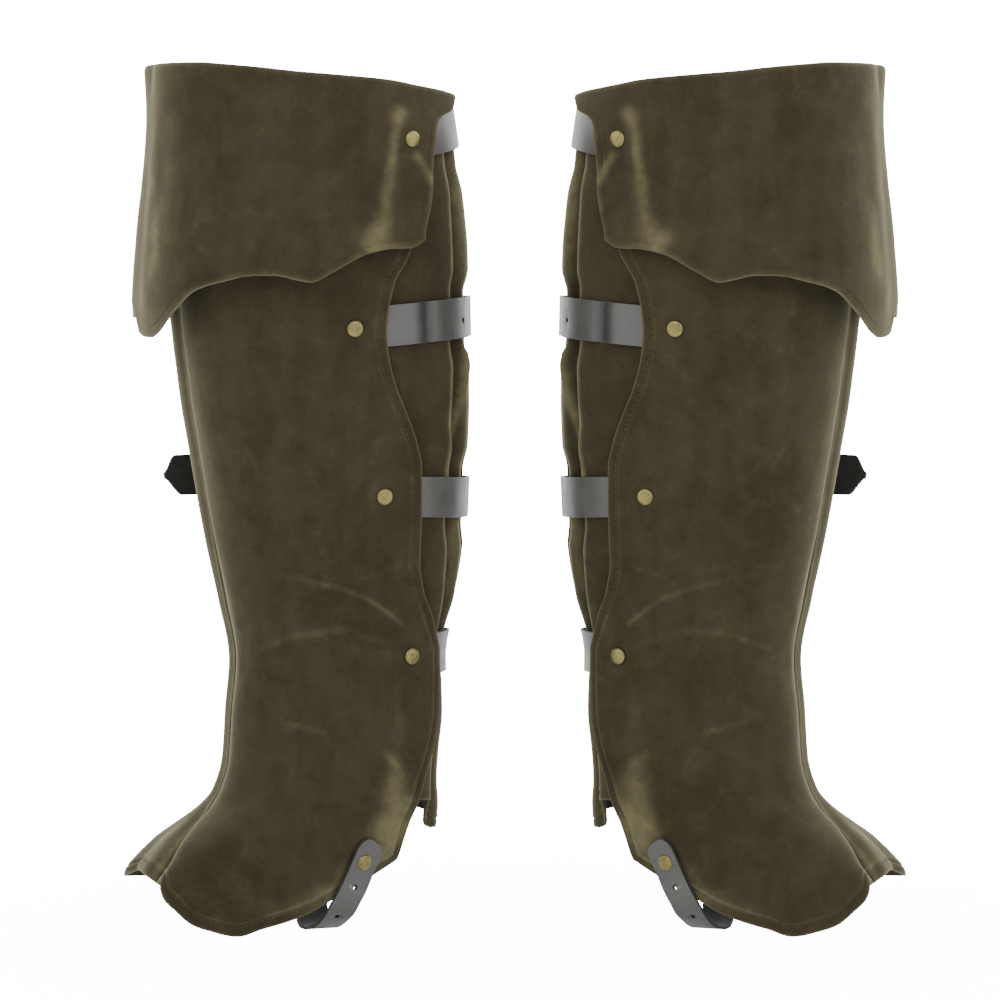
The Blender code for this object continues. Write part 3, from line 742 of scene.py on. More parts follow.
class Shader:
    """A socket with arithmetic, and the tree that its nodes go into."""

    def __init__(self, tree, socket=None):
        self.tree = tree
        self.socket = socket

    def node(self, kind, settings=None, output=0, **values):
        """Adds a node: its settings first, then the values or links of its sockets, whose names
        have _ for a space. Returns one of its outputs."""
        made = self.tree.nodes.new(kind)
        for name, value in (settings or {}).items():
            if name == "stops":
                while len(made.color_ramp.elements) < len(value):
                    made.color_ramp.elements.new(0.5)
                for element, (at, colour) in zip(made.color_ramp.elements, value):
                    element.position = at
                    element.color = (*colour, 1)
            else:
                setattr(made, name, value)
        for name, value in values.items():
            key = int(name[1:]) if name[0] == "i" and name[1:].isdigit() else name.replace("_", " ")
            target = made.inputs[key]
            if isinstance(value, Shader):
                self.tree.links.new(value.socket, target)
            elif hasattr(value, "__len__") and len(value) == 3 and target.type == "RGBA":
                target.default_value = (*value, 1)
            else:
                target.default_value = value
        return Shader(self.tree, made.outputs[output])

    def maths(self, operation, *values, clamp=False):
        inputs = {f"i{k}": value for k, value in enumerate(values)}
        return self.node("ShaderNodeMath", {"operation": operation, "use_clamp": clamp}, **inputs)

    def __add__(self, other):
        return self.maths("ADD", self, other)

    __radd__ = __add__

    def __sub__(self, other):
        return self.maths("SUBTRACT", self, other)

    def __rsub__(self, other):
        return self.maths("SUBTRACT", other, self)

    def __mul__(self, other):
        return self.maths("MULTIPLY", self, other)

    __rmul__ = __mul__

    def clamped(self):
        return self.maths("ADD", self, 0.0, clamp=True)

    def ranged(self, low, high, to_low=0.0, to_high=1.0):
        """Smoothly maps low..high to to_low..to_high, and holds it beyond them."""
        settings = {"interpolation_type": "SMOOTHSTEP"}
        values = {"From_Min": low, "From_Max": high, "To_Min": to_low, "To_Max": to_high}
        return self.node("ShaderNodeMapRange", settings, Value=self, **values)

    def mix(self, first, second):
        """Colour first where this value is 0 and second where it is 1."""
        settings = {"data_type": "RGBA"}
        return self.node("ShaderNodeMix", settings, output=2, i0=self, i6=first, i7=second)


class Finish(Shader):
    """A material with one Principled shader and its Object coordinates."""

    def __init__(self, name, **constants):
        material = bpy.data.materials.new(name)
        material.use_nodes = True
        super().__init__(material.node_tree)
        self.material = material
        self.shader = material.node_tree.nodes["Principled BSDF"]
        for socket, value in constants.items():
            target = self.shader.inputs[socket.replace("_", " ")]
            target.default_value = (*value, 1) if target.type == "RGBA" else value
        self.place = self.node("ShaderNodeTexCoord", output="Object")

    def noise(self, scale, detail=2.0, roughness=0.5, stretch=(1, 1, 1), distortion=0.0):
        place = self.place
        if stretch != (1, 1, 1):
            place = self.node("ShaderNodeMapping", Vector=place, Scale=stretch)
        return self.node(
            "ShaderNodeTexNoise",
            Vector=place,
            Scale=scale,
            Detail=detail,
            Roughness=roughness,
            Distortion=distortion,
        )

    def attribute(self, name):
        return self.node("ShaderNodeAttribute", {"attribute_name": name}, output="Fac")

    def bump(self, height, strength, distance, under=None):
        values = {"Height": height, "Strength": strength, "Distance": distance}
        if under is not None:
            values["Normal"] = under
        return self.node("ShaderNodeBump", **values)

    def feed(self, **sockets):
        for name, value in sockets.items():
            self.tree.links.new(value.socket, self.shader.inputs[name.replace("_", " ")])
        return self.material


def finish_named(name, build):
    """One of the materials, built the first time that it is asked for."""
    return bpy.data.materials.get(name) or build(name)


def darker(colour, share):
    return tuple(share * v for v in colour)


def suede_finish(name):
    """Brushed imitation suede: cloudy nap, paler where it is rubbed and where sheen and highlights
    are painted, with short matt fibres.
    """
    c = colours()
    f = Finish(name, Sheen_Weight=0.6, Sheen_Roughness=0.40, Sheen_Tint=(0.62, 0.60, 0.38))
    f.shader.inputs["Specular IOR Level"].default_value = 0.18
    clouds = f.noise(13.0, 4.0, 0.6)
    mottle = f.noise(62.0, 5.0, 0.66, distortion=0.35)
    brushed = f.noise(60.0, 4.0, 0.6, stretch=(1.0, 1.0, 0.22))
    fibres = f.noise(520.0, 3.0, 0.65)
    grain = f.noise(1500.0, 2.0, 0.6)
    wear = f.attribute("wear")
    edge = f.attribute("edge")
    shade = (clouds * 0.55 + mottle * 0.75 + brushed * 0.50).ranged(0.60, 1.14)
    nap = (shade * 0.86 + (fibres - 0.5) * 0.42).clamped()
    base = nap.mix(c.suede_dark, c.suede)
    # Rubbed nap, painted sheen and painted highlights mix the nap towards the pale colour.
    rubbed_and_sheen = (wear * (mottle * 1.3 + 0.25)).ranged(0.03, 0.95)
    pale = (rubbed_and_sheen * 0.62 + (mottle - 0.56).ranged(0.0, 0.25) * 0.05).clamped()
    wear_and_light_paint = pale.mix(base, c.suede_pale)
    fuzz = (edge * (0.45 + fibres * 0.4)).clamped()
    colour = fuzz.mix(wear_and_light_paint, FUZZ)
    relief = f.bump(mottle, 0.22, 0.0012)
    relief = f.bump(fibres, 0.30, 0.0005, relief)
    relief = f.bump(grain, 0.28, 0.00022, relief)
    return f.feed(Base_Color=colour, Roughness=0.97 - wear * 0.10, Normal=relief)


def backing_finish(name):
    """The inside of the cloth: a dull knitted backing."""
    c = colours()
    f = Finish(name, Sheen_Weight=0.15, Sheen_Roughness=0.5)
    knit = f.noise(900.0, 2.0, 0.6, stretch=(1.0, 1.0, 0.45))
    clouds = f.noise(26.0, 3.0, 0.6)
    shade = (knit * 0.7 + clouds * 0.6).ranged(0.4, 0.95)
    colour = shade.mix(darker(c.backing, 0.55), c.backing)
    relief = f.bump(knit, 0.35, 0.0003)
    return f.feed(Base_Color=colour, Roughness=0.9 + clouds * 0.08, Normal=relief)


def strap_finish(name):
    """Smooth imitation leather with a fine grain, rubbed a little paler along its cut edges. On a
    strap, the wear attribute is painted shade, darkest in strap 2's dent."""
    c = colours()
    f = Finish(name, Coat_Roughness=0.34)
    grain = f.node(
        "ShaderNodeTexVoronoi", {"feature": "DISTANCE_TO_EDGE"}, Vector=f.place, Scale=1100.0
    )
    fine = f.noise(1400.0, 3.0, 0.6)
    clouds = f.noise(55.0, 4.0, 0.6)
    scuffs = f.noise(230.0, 4.0, 0.7, stretch=(1.0, 1.0, 3.0), distortion=0.5)
    edge = f.attribute("edge")
    base = clouds.ranged(0.32, 0.70).mix(darker(c.strap, 0.72), c.strap)
    # Painted shade: the strap is mixed towards near black where it sinks in its dent.
    base = (f.attribute("wear") * 0.9).mix(base, DENT_SHADE)
    scuffed = (scuffs - 0.60).ranged(0.0, 0.12)
    marks = (scuffed * 0.28 + (edge * scuffs).ranged(0.30, 0.75) * 0.5).clamped()
    colour = marks.mix(base, SCUFF)
    relief = f.bump(grain.ranged(0.0, 0.22), 0.16, 0.00014)
    relief = f.bump(fine + clouds * 0.6, 0.12, 0.00016, relief)
    rough = clouds.ranged(0.3, 0.7, 0.36, 0.46) + marks * 0.22
    coat = clouds.ranged(0.3, 0.7, 0.55, 0.35)
    return f.feed(Base_Color=colour, Roughness=rough, Coat_Weight=coat, Normal=relief)


def flesh_finish(name):
    """The straps' underside and cut core: matt and nearly black."""
    f = Finish(name, Sheen_Weight=0.1)
    fuzz = f.noise(1300.0, 3.0, 0.65)
    clouds = f.noise(80.0, 3.0, 0.6)
    colour = (fuzz * 0.6 + clouds * 0.5).ranged(0.35, 0.75).mix(FLESH_DARK, FLESH)
    relief = f.bump(fuzz, 0.4, 0.0002)
    return f.feed(Base_Color=colour, Roughness=0.85 + clouds * 0.1, Normal=relief)


def brass_finish(name):
    """Pale antique brass: brushed matt, dulled in spots and dark where polish hasn't reached."""
    c = colours()
    f = Finish(name)
    spots = f.noise(420.0, 4.0, 0.65)
    clouds = f.noise(150.0, 3.0, 0.6)
    scratches = f.noise(900.0, 3.0, 0.6, stretch=(0.25, 1.0, 1.0))
    tarnish = (spots * 0.6 + clouds * 0.6).ranged(0.55, 0.86)
    colour = tarnish.mix(c.brass, darker(c.brass, 0.52))
    metallic = tarnish.ranged(0.0, 1.0, 0.92, 0.72)
    rough = 0.36 + tarnish * 0.22 + (scratches - 0.5) * 0.14
    relief = f.bump(scratches, 0.12, 0.00008)
    relief = f.bump(spots, 0.18, 0.00012, relief)
    return f.feed(Base_Color=colour, Metallic=metallic, Roughness=rough, Normal=relief)


def thread_finish(name):
    """Twisted thread in the cloth's own colour."""
    c = colours()
    f = Finish(name, Sheen_Weight=0.2)
    twist = f.noise(2600.0, 2.0, 0.5)
    colour = twist.ranged(0.35, 0.65).mix(darker(c.thread, 0.6), c.thread)
    relief = f.bump(twist, 0.3, 0.0001)
    return f.feed(Base_Color=colour, Roughness=0.62 + twist * 0.2, Normal=relief)


def suede():
    return finish_named("suede_nap", suede_finish)


def backing():
    return finish_named("suede_backing", backing_finish)


def strap_leather():
    return finish_named("strap_face", strap_finish)


def strap_flesh():
    return finish_named("strap_flesh", flesh_finish)


def brass():
    return finish_named("antique_brass", brass_finish)


def thread():
    return finish_named("thread", thread_finish)


def smooth(x):
    x = min(1.0, max(0.0, x))
    return x * x * (3 - 2 * x)


def ramp(x, start, full):
    """Rises smoothly from 0 at start to 1 at full."""
    return smooth((x - start) / (full - start))


def bell(x, width):
    """1 at 0, and smoothly less on both sides of it."""
    return math.exp(-((x / width) ** 2))


def read_table(rows, x, column=1):
    """A smooth curve through one column of a table, which never overshoots its rows."""
    xs, curves = table_curve(rows, column)
    if x <= xs[0]:
        return rows[0][column]
    if x >= xs[-1]:
        return rows[-1][column]
    i = bisect.bisect_right(xs, x) - 1
    step, a, b, start, end = curves[i]
    s = (x - xs[i]) / step
    t = s * s
    return (
        (2 * t * s - 3 * t + 1) * a
        + (t * s - 2 * t + s) * start
        + (3 * t - 2 * t * s) * b
        + (t * s - t) * end
    )


@functools.lru_cache(maxsize=None)
def table_curve(rows, column):
    """Each stretch of a table's curve: its length, its end values and their slopes."""
    xs = [row[0] for row in rows]
    ys = [row[column] for row in rows]
    chords = [(b - a) / (d - c) for a, b, c, d in zip(ys, ys[1:], xs, xs[1:])]
    slopes = [chords[0]]
    for before, after in zip(chords, chords[1:]):
        flat = before * after <= 0
        slopes.append(0.0 if flat else 2 * before * after / (before + after))
    slopes.append(chords[-1])
    curves = []
    for k in range(len(xs) - 1):
        step = xs[k + 1] - xs[k]
        curves.append((step, ys[k], ys[k + 1], slopes[k] * step, slopes[k + 1] * step))
    return xs, curves


def layer(way):
    """How far the inner panel stands off the leg's surface: less than 0 where it is tucked in."""
    return -TUCK_DEPTH * ramp(way, TUCK_FROM, TUCK_FULL)


def seam_width(height):
    """How wide the leg's surface dips along its front."""
    toe = smooth((TOE_TOP - height) / TOE_RISE)
    return SEAM_WIDTH + (TOE_SEAM_WIDTH - SEAM_WIDTH) * toe


@functools.lru_cache(maxsize=None)
def ring(height):
    """Half of the leg's section, front to back, as points and the length up to each."""
    front, back, widest, half, front_square, back_square, dip = (
        read_table(SECTIONS, height, column) for column in range(1, 8)
    )
    dip_width = seam_width(height)
    points = []
    for k in range(RING_STEPS + 1):
        turn = math.pi * (1 - math.cos(math.pi * k / RING_STEPS)) / 2
        c, s = math.cos(turn), abs(math.sin(turn))
        reach, square = (front - widest, front_square) if c > 0 else (widest - back, back_square)
        forward = widest + math.copysign(reach * abs(c) ** (2 / square), c)
        outward = half * s ** (2 / square)
        forward -= dip * bell(outward, dip_width)
        heel = smooth((TOE_TOP - height) / HEEL_RISE)
        heel *= smooth((HEEL_PINCH_TO - forward) / HEEL_LENGTH)
        outward -= HEEL_PINCH * heel * min(1, outward / HEEL_ROUND)
        points.append((forward, outward))
    lengths = [0.0]
    for a, b in zip(points, points[1:]):
        lengths.append(lengths[-1] + math.dist(a, b))
    return points, lengths


def half_girth(height):
    """The length of half of a ring, from the front to the back."""
    return ring(round(height, 1))[1][-1]


def on_ring(share, height):
    """The point of the leg's surface at a share of a ring."""
    share = (share + 1) % 2 - 1
    points, lengths = ring(round(height, 1))
    x = abs(share) * lengths[-1]
    i = min(len(points) - 2, max(0, bisect.bisect_right(lengths, x) - 1))
    k = (x - lengths[i]) / (lengths[i + 1] - lengths[i])
    forward = points[i][0] + k * (points[i + 1][0] - points[i][0])
    outward = points[i][1] + k * (points[i + 1][1] - points[i][1])
    return Vector((forward, math.copysign(outward, share), height))


def normal(share, height):
    """The leg surface's outward direction, over a few mm so that it turns smoothly."""
    around = on_ring(share + NEAR_SHARE, height) - on_ring(share - NEAR_SHARE, height)
    up = on_ring(share, height + NEAR_HEIGHT) - on_ring(share, height - NEAR_HEIGHT)
    return around.cross(up).normalized()


def on_leg(share, height, out=0.0):
    """A point that stands off the leg's surface."""
    return on_ring(share, height) + out * normal(share, height)


def on_panel(share, height, out=0.0):
    """A point of a panel's face: on the leg, with the dip of the toe's front moved to the seam."""
    moved = smooth((TOE_FOLD_TOP - height) / TOE_FOLD_RISE)
    if not moved:
        return on_leg(share, height, out)
    from_seam = (share - read_table(SEAM_LINE, height)) * half_girth(height)
    fold = TOE_FOLD * bell(from_seam, TOE_FOLD_WIDTH)
    point = on_leg(share, height, out - moved * fold)
    dip = read_table(SECTIONS, height, 7) * smooth(1 + point.y / TOE_FILL)
    point.x += moved * dip * bell(point.y, seam_width(height))
    return point


def place(side, point):
    """A gaiter's own millimetres to the pair's metres. side is -1 for the left leg."""
    forward, outward, height = point
    x = LEG_SPACING + forward * math.cos(TOE_OUT) - outward * math.sin(TOE_OUT)
    y = -forward * math.sin(TOE_OUT) - outward * math.cos(TOE_OUT)
    return Vector((side * x, y, height - HELD_HEIGHT)) * MM


def spread(length, near, far, grain):
    """Distances from 0 to length: close together by each end, and about grain apart between."""
    middle = length - near[-1] - far[-1]
    count = max(2, round(middle / grain))
    inner = [near[-1] + middle * k / count for k in range(1, count)]
    return list(near) + inner + [length - x for x in reversed(far)]


def creases(rows, share, height):
    """The rise of a table's crease lines at a point, and their paleness: rubbed nap and painted
    highlight.
    """
    high_rise = low_rise = wear = 0.0
    for share_a, height_a, share_b, height_b, width, high, wear_and_light_paint in rows:
        dx, dy = (share_b - share_a) * CREASE_GIRTH, height_b - height_a
        x, y = (share - share_a) * CREASE_GIRTH, height - height_a
        along = (x * dx + y * dy) / (dx * dx + dy * dy)
        if not -CREASE_END < along < 1 + CREASE_END:
            continue
        held = min(1.0, max(0.0, along))
        apart = math.hypot(x - held * dx, y - held * dy) / width
        if apart < CREASE_REACH:
            near = math.exp(-apart * apart)
            high_rise = max(high_rise, high * near)
            low_rise = min(low_rise, high * near)
            wear = max(wear, wear_and_light_paint * near)
    return high_rise + low_rise, wear


def sheen_and_wear_patches(rows, share, height):
    """The paleness of a table's patches at a point: painted sheen, with some rubbed nap."""
    wear = 0.0
    for at, middle, across, up, wear_and_light_paint in rows:
        x, y = (share - at) * CREASE_GIRTH / across, (height - middle) / up
        wear += wear_and_light_paint * math.exp(-x * x - y * y)
    return wear


def slack(share, height, seed):
    """The cloth's own unevenness: soft waves and a slight pucker."""
    x = share * CREASE_GIRTH
    waves = 0.0
    for across, up, rise, shift in SLACK_WAVES:
        waves += rise * noise.noise(Vector((x / across, height / up, seed + shift)))
    return waves


def hem_rise(inset):
    """A turned hem: doubled cloth up to its stitch line, which pulls in."""
    doubled = HEM_DOUBLED * (1 - smooth((inset - HEM_DEPTH) / HEM_STEP))
    return doubled - HEM_PULL * bell(inset - STITCH_IN, HEM_PULL_WIDTH)


def border(inset):
    """1 on an edge and 0 a little way in, for the pale nap of a cut edge."""
    return bell(inset, CUT_EDGE)


def seam_groove(from_seam):
    """How far a panel's front edge dips into the seam."""
    return SEAM_GROOVE * bell(from_seam, SEAM_GROOVE)


def rubbed_edges(from_seam, inset):
    """The wear beside the front seam and beside a hem's stitches."""
    return 0.42 * bell(from_seam - 4.0, 2.2) + 0.22 * bell(inset - 7.6, 1.2)


def add_piece(name, data, materials, replaced):
    """Links a finished mesh or curve, with its materials and the nodes it stands for."""
    obj = bpy.data.objects.new(name, data)
    bpy.context.scene.collection.objects.link(obj)
    for material in materials:
        data.materials.append(material)
    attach(obj, BODY)
    if replaced:
        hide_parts(*replaced)
    return obj


def shell(name, side, grid, thickness, materials, replaced, turned=False):
    """A wall of even thickness, inwards from a grid of (point, wear and painted light, edge). The
    columns run towards the outer side, and the rows downwards."""
    mesh = bmesh.new()
    wear = mesh.verts.layers.float.new("wear")
    edge = mesh.verts.layers.float.new("edge")
    rows = []
    for line in grid:
        row = []
        for point, wear_and_light_paint, border_share in line:
            vertex = mesh.verts.new(place(side, point))
            vertex[wear] = min(1.0, max(0.0, wear_and_light_paint))
            vertex[edge] = border_share
            row.append(vertex)
        rows.append(row)
    flip = (side > 0) != turned
    for above, below in zip(rows, rows[1:]):
        for k in range(len(above) - 1):
            corners = (above[k], below[k], below[k + 1], above[k + 1])
            face = mesh.faces.new(tuple(reversed(corners)) if flip else corners)
            face.smooth = True
    data = bpy.data.meshes.new(name)
    mesh.to_mesh(data)
    mesh.free()
    obj = add_piece(name, data, materials, replaced)
    wall = obj.modifiers.new("Wall", "SOLIDIFY")
    wall.thickness = thickness
    wall.offset = -1
    wall.material_offset = len(materials) - 1
    rounded = obj.modifiers.new("Rounded edges", "BEVEL")
    rounded.limit_method = "ANGLE"
    rounded.angle_limit = EDGE_ANGLE
    rounded.width = thickness * EDGE_ROUND
    rounded.segments = 2
    return obj


def tube(name, side, points, radius, cyclic, replaced):
    """A round bar along points, as a bevelled curve."""
    curve = bpy.data.curves.new(name, "CURVE")
    curve.dimensions = "3D"
    curve.bevel_depth = radius * MM
    curve.bevel_resolution = 3
    curve.use_fill_caps = True
    spline = curve.splines.new("POLY")
    spline.points.add(len(points) - 1)
    for target, point in zip(spline.points, points):
        target.co = (*place(side, point), 1)
    spline.use_cyclic_u = cyclic
    return add_piece(name, curve, [brass()], replaced)


def baked(obj):
    """The object's mesh with its modifiers applied."""
    graph = bpy.context.evaluated_depsgraph_get()
    return bpy.data.meshes.new_from_object(obj.evaluated_get(graph))


def top_of(share):
    return read_table(TOP_LINE, abs(share))


def panel_top(share):
    """The height at which a panel ends, under the cuff's fold."""
    return top_of(share) - FOLD[0][1] - 0.1


def hem_of(rows):
    """A hem table's height, as a function of share or way."""
    return functools.partial(read_table, rows)


def seam_shares(height):
    """The front edges of the outer and the inner panel, which pass each other in the groove."""
    half = SEAM_LAP / 2 / half_girth(height)
    return read_table(SEAM_LINE, height) - half, read_table(SEAM_LINE, height) + half


def outer_spot(height, column, columns):
    """The share at which a column passes a height, and its distances from the seam and the edge."""
    girth = half_girth(height)
    first = seam_shares(height)[0]
    width = (read_table(OUTER_EDGE, height) - first) * girth
    across, inset = squeeze(column, columns, width, SEAM_STEPS, HEM_STEPS)
    return first + across / girth, across, inset


def meeting(spot, line, guess):
    """The height at which a column meets a line that is given by share. spot(height) is the
    column's share at a height."""
    height = line(guess)
    for _ in range(SETTLE_ROUNDS):
        height = (height + line(spot(height))) / 2
    return height


def outer_grid(grain):
    """The outer panel's points: rows from the top edge to the hem, columns from the front seam."""
    rows = spread(OUTER_GRID[0], PLAIN_STEPS, HEM_STEPS, grain)
    columns = spread(OUTER_GRID[1], SEAM_STEPS, HEM_STEPS, grain)
    ends = []
    for column in columns:
        guess = EDGE_GUESS * column / columns[-1]

        def spot(height):
            return outer_spot(height, column, columns)[0]

        top = meeting(spot, panel_top, guess)
        ends.append((top, meeting(spot, hem_of(OUTER_HEM), guess)))
    grid = []
    for row in rows:
        line = []
        for column, (top, hem) in zip(columns, ends):
            height, above_hem = settle(row, rows, top, hem)
            share, across, inset = outer_spot(height, column, columns)
            line.append(outer_point(share, height, across, inset, above_hem))
        grid.append(line)
    return grid


def settle(row, rows, top, hem):
    """A row's height between the top and the hem, and its distance above the hem."""
    below, above_hem = squeeze(row, rows, top - hem, PLAIN_STEPS, HEM_STEPS)
    return top - below, above_hem


def squeeze(x, positions, length, near, far):
    """Fits a position of an evenly built list into another length. The steps by both ends keep
    their size. Returns the distances from the start and from the end."""
    full = positions[-1]
    if x <= near[-1]:
        along = x
    elif x >= full - far[-1]:
        along = length - (full - x)
    else:
        part = (x - near[-1]) / (full - far[-1] - near[-1])
        along = near[-1] + part * (length - far[-1] - near[-1])
    return along, length - along


def outer_point(share, height, from_seam, from_edge, above_hem):
    inset = min(from_edge, above_hem)
    rise, wear = creases(OUTER_CREASES, share, height)
    quiet = smooth(from_edge / 30) * smooth(above_hem / HEM_QUIET)
    out = (rise + slack(share, height, 3.0)) * quiet
    out += hem_rise(inset) - seam_groove(from_seam)
    for _, rivet_share, rivet_height, *_ in LEG_STRAPS:
        x, y = (share - rivet_share) * CREASE_GIRTH, height - rivet_height
        out -= RIVET_DENT * math.exp(-(x * x + y * y) / RIVET_DENT_SPREAD)
    # Painted sheen patches and rubbed nap make the nap paler here.
    wear += sheen_and_wear_patches(OUTER_SHEEN_AND_WEAR, share, height) + rubbed_edges(from_seam, inset)
    return on_panel(share, height, out), wear, border(inset)


def sway(way, height):
    """Moves a point of the back along with the pleats, which lean as they run down."""
    part = ramp(way, SWAY_FROM, SWAY_FULL)
    return way + read_table(PLEAT_SWAY, height) * part


def pleats(way, height):
    """The depth of a pleat's trough at a point of the inner panel, and the painted highlight along
    its ridge.
    """
    depth = wear = 0.0
    for ridge, width, deep in PLEATS:
        x = (way - ridge) / width
        if 0 < x < 1:
            rise = smooth(x / PLEAT_RISE) - smooth((x - PLEAT_RISE) / (1 - PLEAT_RISE))
            depth = max(depth, deep * rise)
        # Painted highlight along each pleat's ridge, where the light catches it.
        wear += RIDGE_HIGHLIGHT * bell((way - ridge) * CREASE_GIRTH, RIDGE_WIDTH)
    fade = read_table(PLEAT_FADE, height)
    return depth * fade, wear * fade


def inner_spot(height, column, columns):
    """The way at which a column passes a height, and its distance from the seam."""
    girth = half_girth(height)
    across, _ = squeeze(column, columns, INNER_LAST * girth, SEAM_STEPS, PLAIN_STEPS)
    return across / girth, across


def back_part(way):
    """0 on the inner side and 1 on the back, which ends below the cuff's fold."""
    return ramp(way, BACK_TOP_FROM, BACK_TOP_FULL)


def inner_top(way):
    """The height at which the inner panel ends."""
    top = panel_top(way if way <= 1 else 2 - way)
    return top + (BACK_TOP - top) * back_part(way)


def inner_grid(grain):
    """The inner panel's points: columns from the front seam round the back to the tucked edge."""
    rows = spread(INNER_GRID[0], PLAIN_STEPS, HEM_STEPS, grain)
    columns = spread(INNER_LAST * INNER_GRID[1], SEAM_STEPS, PLAIN_STEPS, grain)
    ends = []
    for column in columns:
        guess = INNER_LAST * column / columns[-1]

        def spot(height):
            return inner_spot(height, column, columns)[0]

        top = meeting(spot, inner_top, guess)
        ends.append((top, meeting(spot, hem_of(INNER_HEM), guess)))
    grid = []
    for row in rows:
        line = []
        for column, (top, hem) in zip(columns, ends):
            height, above_hem = settle(row, rows, top, hem)
            way, across = inner_spot(height, column, columns)
            below_top = (top - height) * back_part(way)
            line.append(inner_point(way, height, across, above_hem, below_top))
        grid.append(line)
    return grid


def toe_curl(way, above_hem):
    """How far the hem beside the toe curls, which is inwards."""
    return TOE_CURL * (1 - smooth((way - 0.22) / 0.10)) * math.exp(-above_hem / 3.5)


def inner_point(way, height, from_seam, above_hem, below_top):
    trough, wear = pleats(way, height)
    # The waves lie flat where the buckles press on them, and where the panel is tucked in.
    tucked = smooth((way - 1.15) / 0.15)
    buckled = smooth((way - 0.2) / 0.1) * (1 - smooth((way - 0.95) / 0.08))
    flat = smooth(above_hem / HEM_QUIET) * (1 - 0.75 * buckled) * (1 - tucked)
    rise = read_table(BACK_BULGE, height) * ramp(way, BULGE_FROM, BULGE_FULL)
    out = layer(way) + rise - trough + slack(way, height, 21.0) * flat
    out += hem_rise(above_hem) - seam_groove(from_seam)
    wear += rubbed_edges(from_seam, above_hem)
    # Painted sheen: a pale band down the back, where the cloth turns away.
    wear += 0.30 * bell((way - 0.98) * CREASE_GIRTH, 26) * read_table(PLEAT_FADE, height)
    top_border = border(below_top) if below_top > 0 and way > BACK_TOP_FULL else 0.0
    fold_rise, fold_wear_and_highlight = creases(INNER_CREASES, way, height)
    out += fold_rise * (1 - buckled) + toe_curl(way, above_hem)
    share = seam_shares(height)[1] - sway(way, height)
    share += read_table(SEAM_LINE, height) * (max(0, 1 - way / SEAM_MOVED_TO) - 1)
    # Painted highlights of the folds, and painted sheen patches with some rubbed nap.
    wear += fold_wear_and_highlight + sheen_and_wear_patches(INNER_SHEEN_AND_WEAR, way, height)
    return on_panel(share, height, out), wear, max(border(above_hem), top_border)


def cuff_stand(share, drop):
    """How far the cuff's outer face stands off the leg."""
    loose = math.cos(math.pi / 2 * min(1, abs(share) / CUFF_TIGHT_FROM)) ** CUFF_CURVE
    loose = CUFF_TIGHT + (1 - CUFF_TIGHT) * loose
    return CUFF_REACH + read_table(CUFF_FLARE, drop) * loose


def on_cuff(share, height, out, drop):
    """A point of the cuff, which stands off the leg and doesn't follow the dip down its front."""
    filled = CUFF_FILL * smooth(drop / CUFF_FILLED_AT)

    def base(share, height):
        point = on_ring(share, height)
        dip = read_table(SECTIONS, height, 7) * filled
        point.x += dip * bell(point.y, seam_width(height))
        return point

    around = base(share + CUFF_EASE, height) - base(share - CUFF_EASE, height)
    up = base(share, height + 5) - base(share, height - 5)
    return base(share, height) + out * around.cross(up).normalized()


def cuff_hem(share, width):
    """The hem's height. It is higher just past the front, so that one point hangs at each front."""
    past = smooth(-share / 0.05) * (1 - smooth((-share - 0.07) / 0.05))
    return read_table(CUFF_HEM, abs(share) / width) + CUFF_PAST_FRONT * past


def cuff_grid(grain):
    """The cuff's points: over the fold and down outside, from the inner rear edge to the outer."""
    rows = spread(CUFF_GRID[0], NO_STEPS, HEM_STEPS, grain)[1:]
    half = spread(CUFF_GRID[1], NO_STEPS, HEM_STEPS, grain)
    columns = [-x for x in reversed(half[1:])] + half
    grid = []
    for row in range(len(FOLD) + len(rows)):
        line = []
        for column in columns:
            inner = column < 0
            width = INNER_CUFF if inner else 1.0
            share = EDGE_GUESS * width * column / half[-1]
            for _ in range(SETTLE_ROUNDS):
                top = top_of(share)
                under = layer(abs(share)) if inner else 0.0
                if row < len(FOLD):
                    out, drop = FOLD[row]
                    height = top - drop
                    out += under
                    above_hem = top - cuff_hem(share, width)
                else:
                    start = top - FOLD[-1][1]
                    length = start - cuff_hem(share, width)
                    down, above_hem = squeeze(
                        rows[row - len(FOLD)], rows, length, NO_STEPS, HEM_STEPS
                    )
                    height = start - down
                    out = cuff_stand(share, top - height) + under
                girth = half_girth(height)
                reach = width * read_table(CUFF_REAR, height) * girth
                across, from_edge = squeeze(abs(column), half, reach, NO_STEPS, HEM_STEPS)
                share = (share + math.copysign(across / girth, column)) / 2
            line.append(cuff_point(share, height, out, min(above_hem, from_edge), top - height))
        grid.append(line)
    return grid


def cuff_point(share, height, out, inset, drop):
    rise, wear = creases(CUFF_CREASES, abs(share), height)
    free = smooth(drop / 18)
    wave = slack(share, height, 55.0)
    loose = math.cos(math.pi / 2 * min(1, abs(share) / CUFF_TIGHT_FROM))
    out += (rise + wave * (0.7 + 1.3 * loose)) * free * smooth((inset + 6) / 14)
    if drop > FOLD[-1][1]:
        out += 0.5 * hem_rise(inset) * free
    # Painted sheen patches and rubbed nap make the cuff paler here.
    wear += sheen_and_wear_patches(CUFF_SHEEN_AND_WEAR, share, height)
    wear += 0.30 * bell(drop, 3.5) + 0.25 * bell(inset - 2.0, 1.5)
    return on_cuff(share, height, out, drop), wear, border(inset)


def strap_frame(strap, way):
    """The height of a leg strap's middle at a way round the leg."""
    _, rivet_share, rivet_height, back_height, buckle_height, buckle_way, _, _ = strap
    rows = ((buckle_way, buckle_height), (1.0, back_height), (2 - rivet_share, rivet_height))
    return read_table(rows, way)


def strap_point(strap, way, across, out):
    height = strap_frame(strap, way) + across
    return on_leg(-way, height, layer(way) + out)


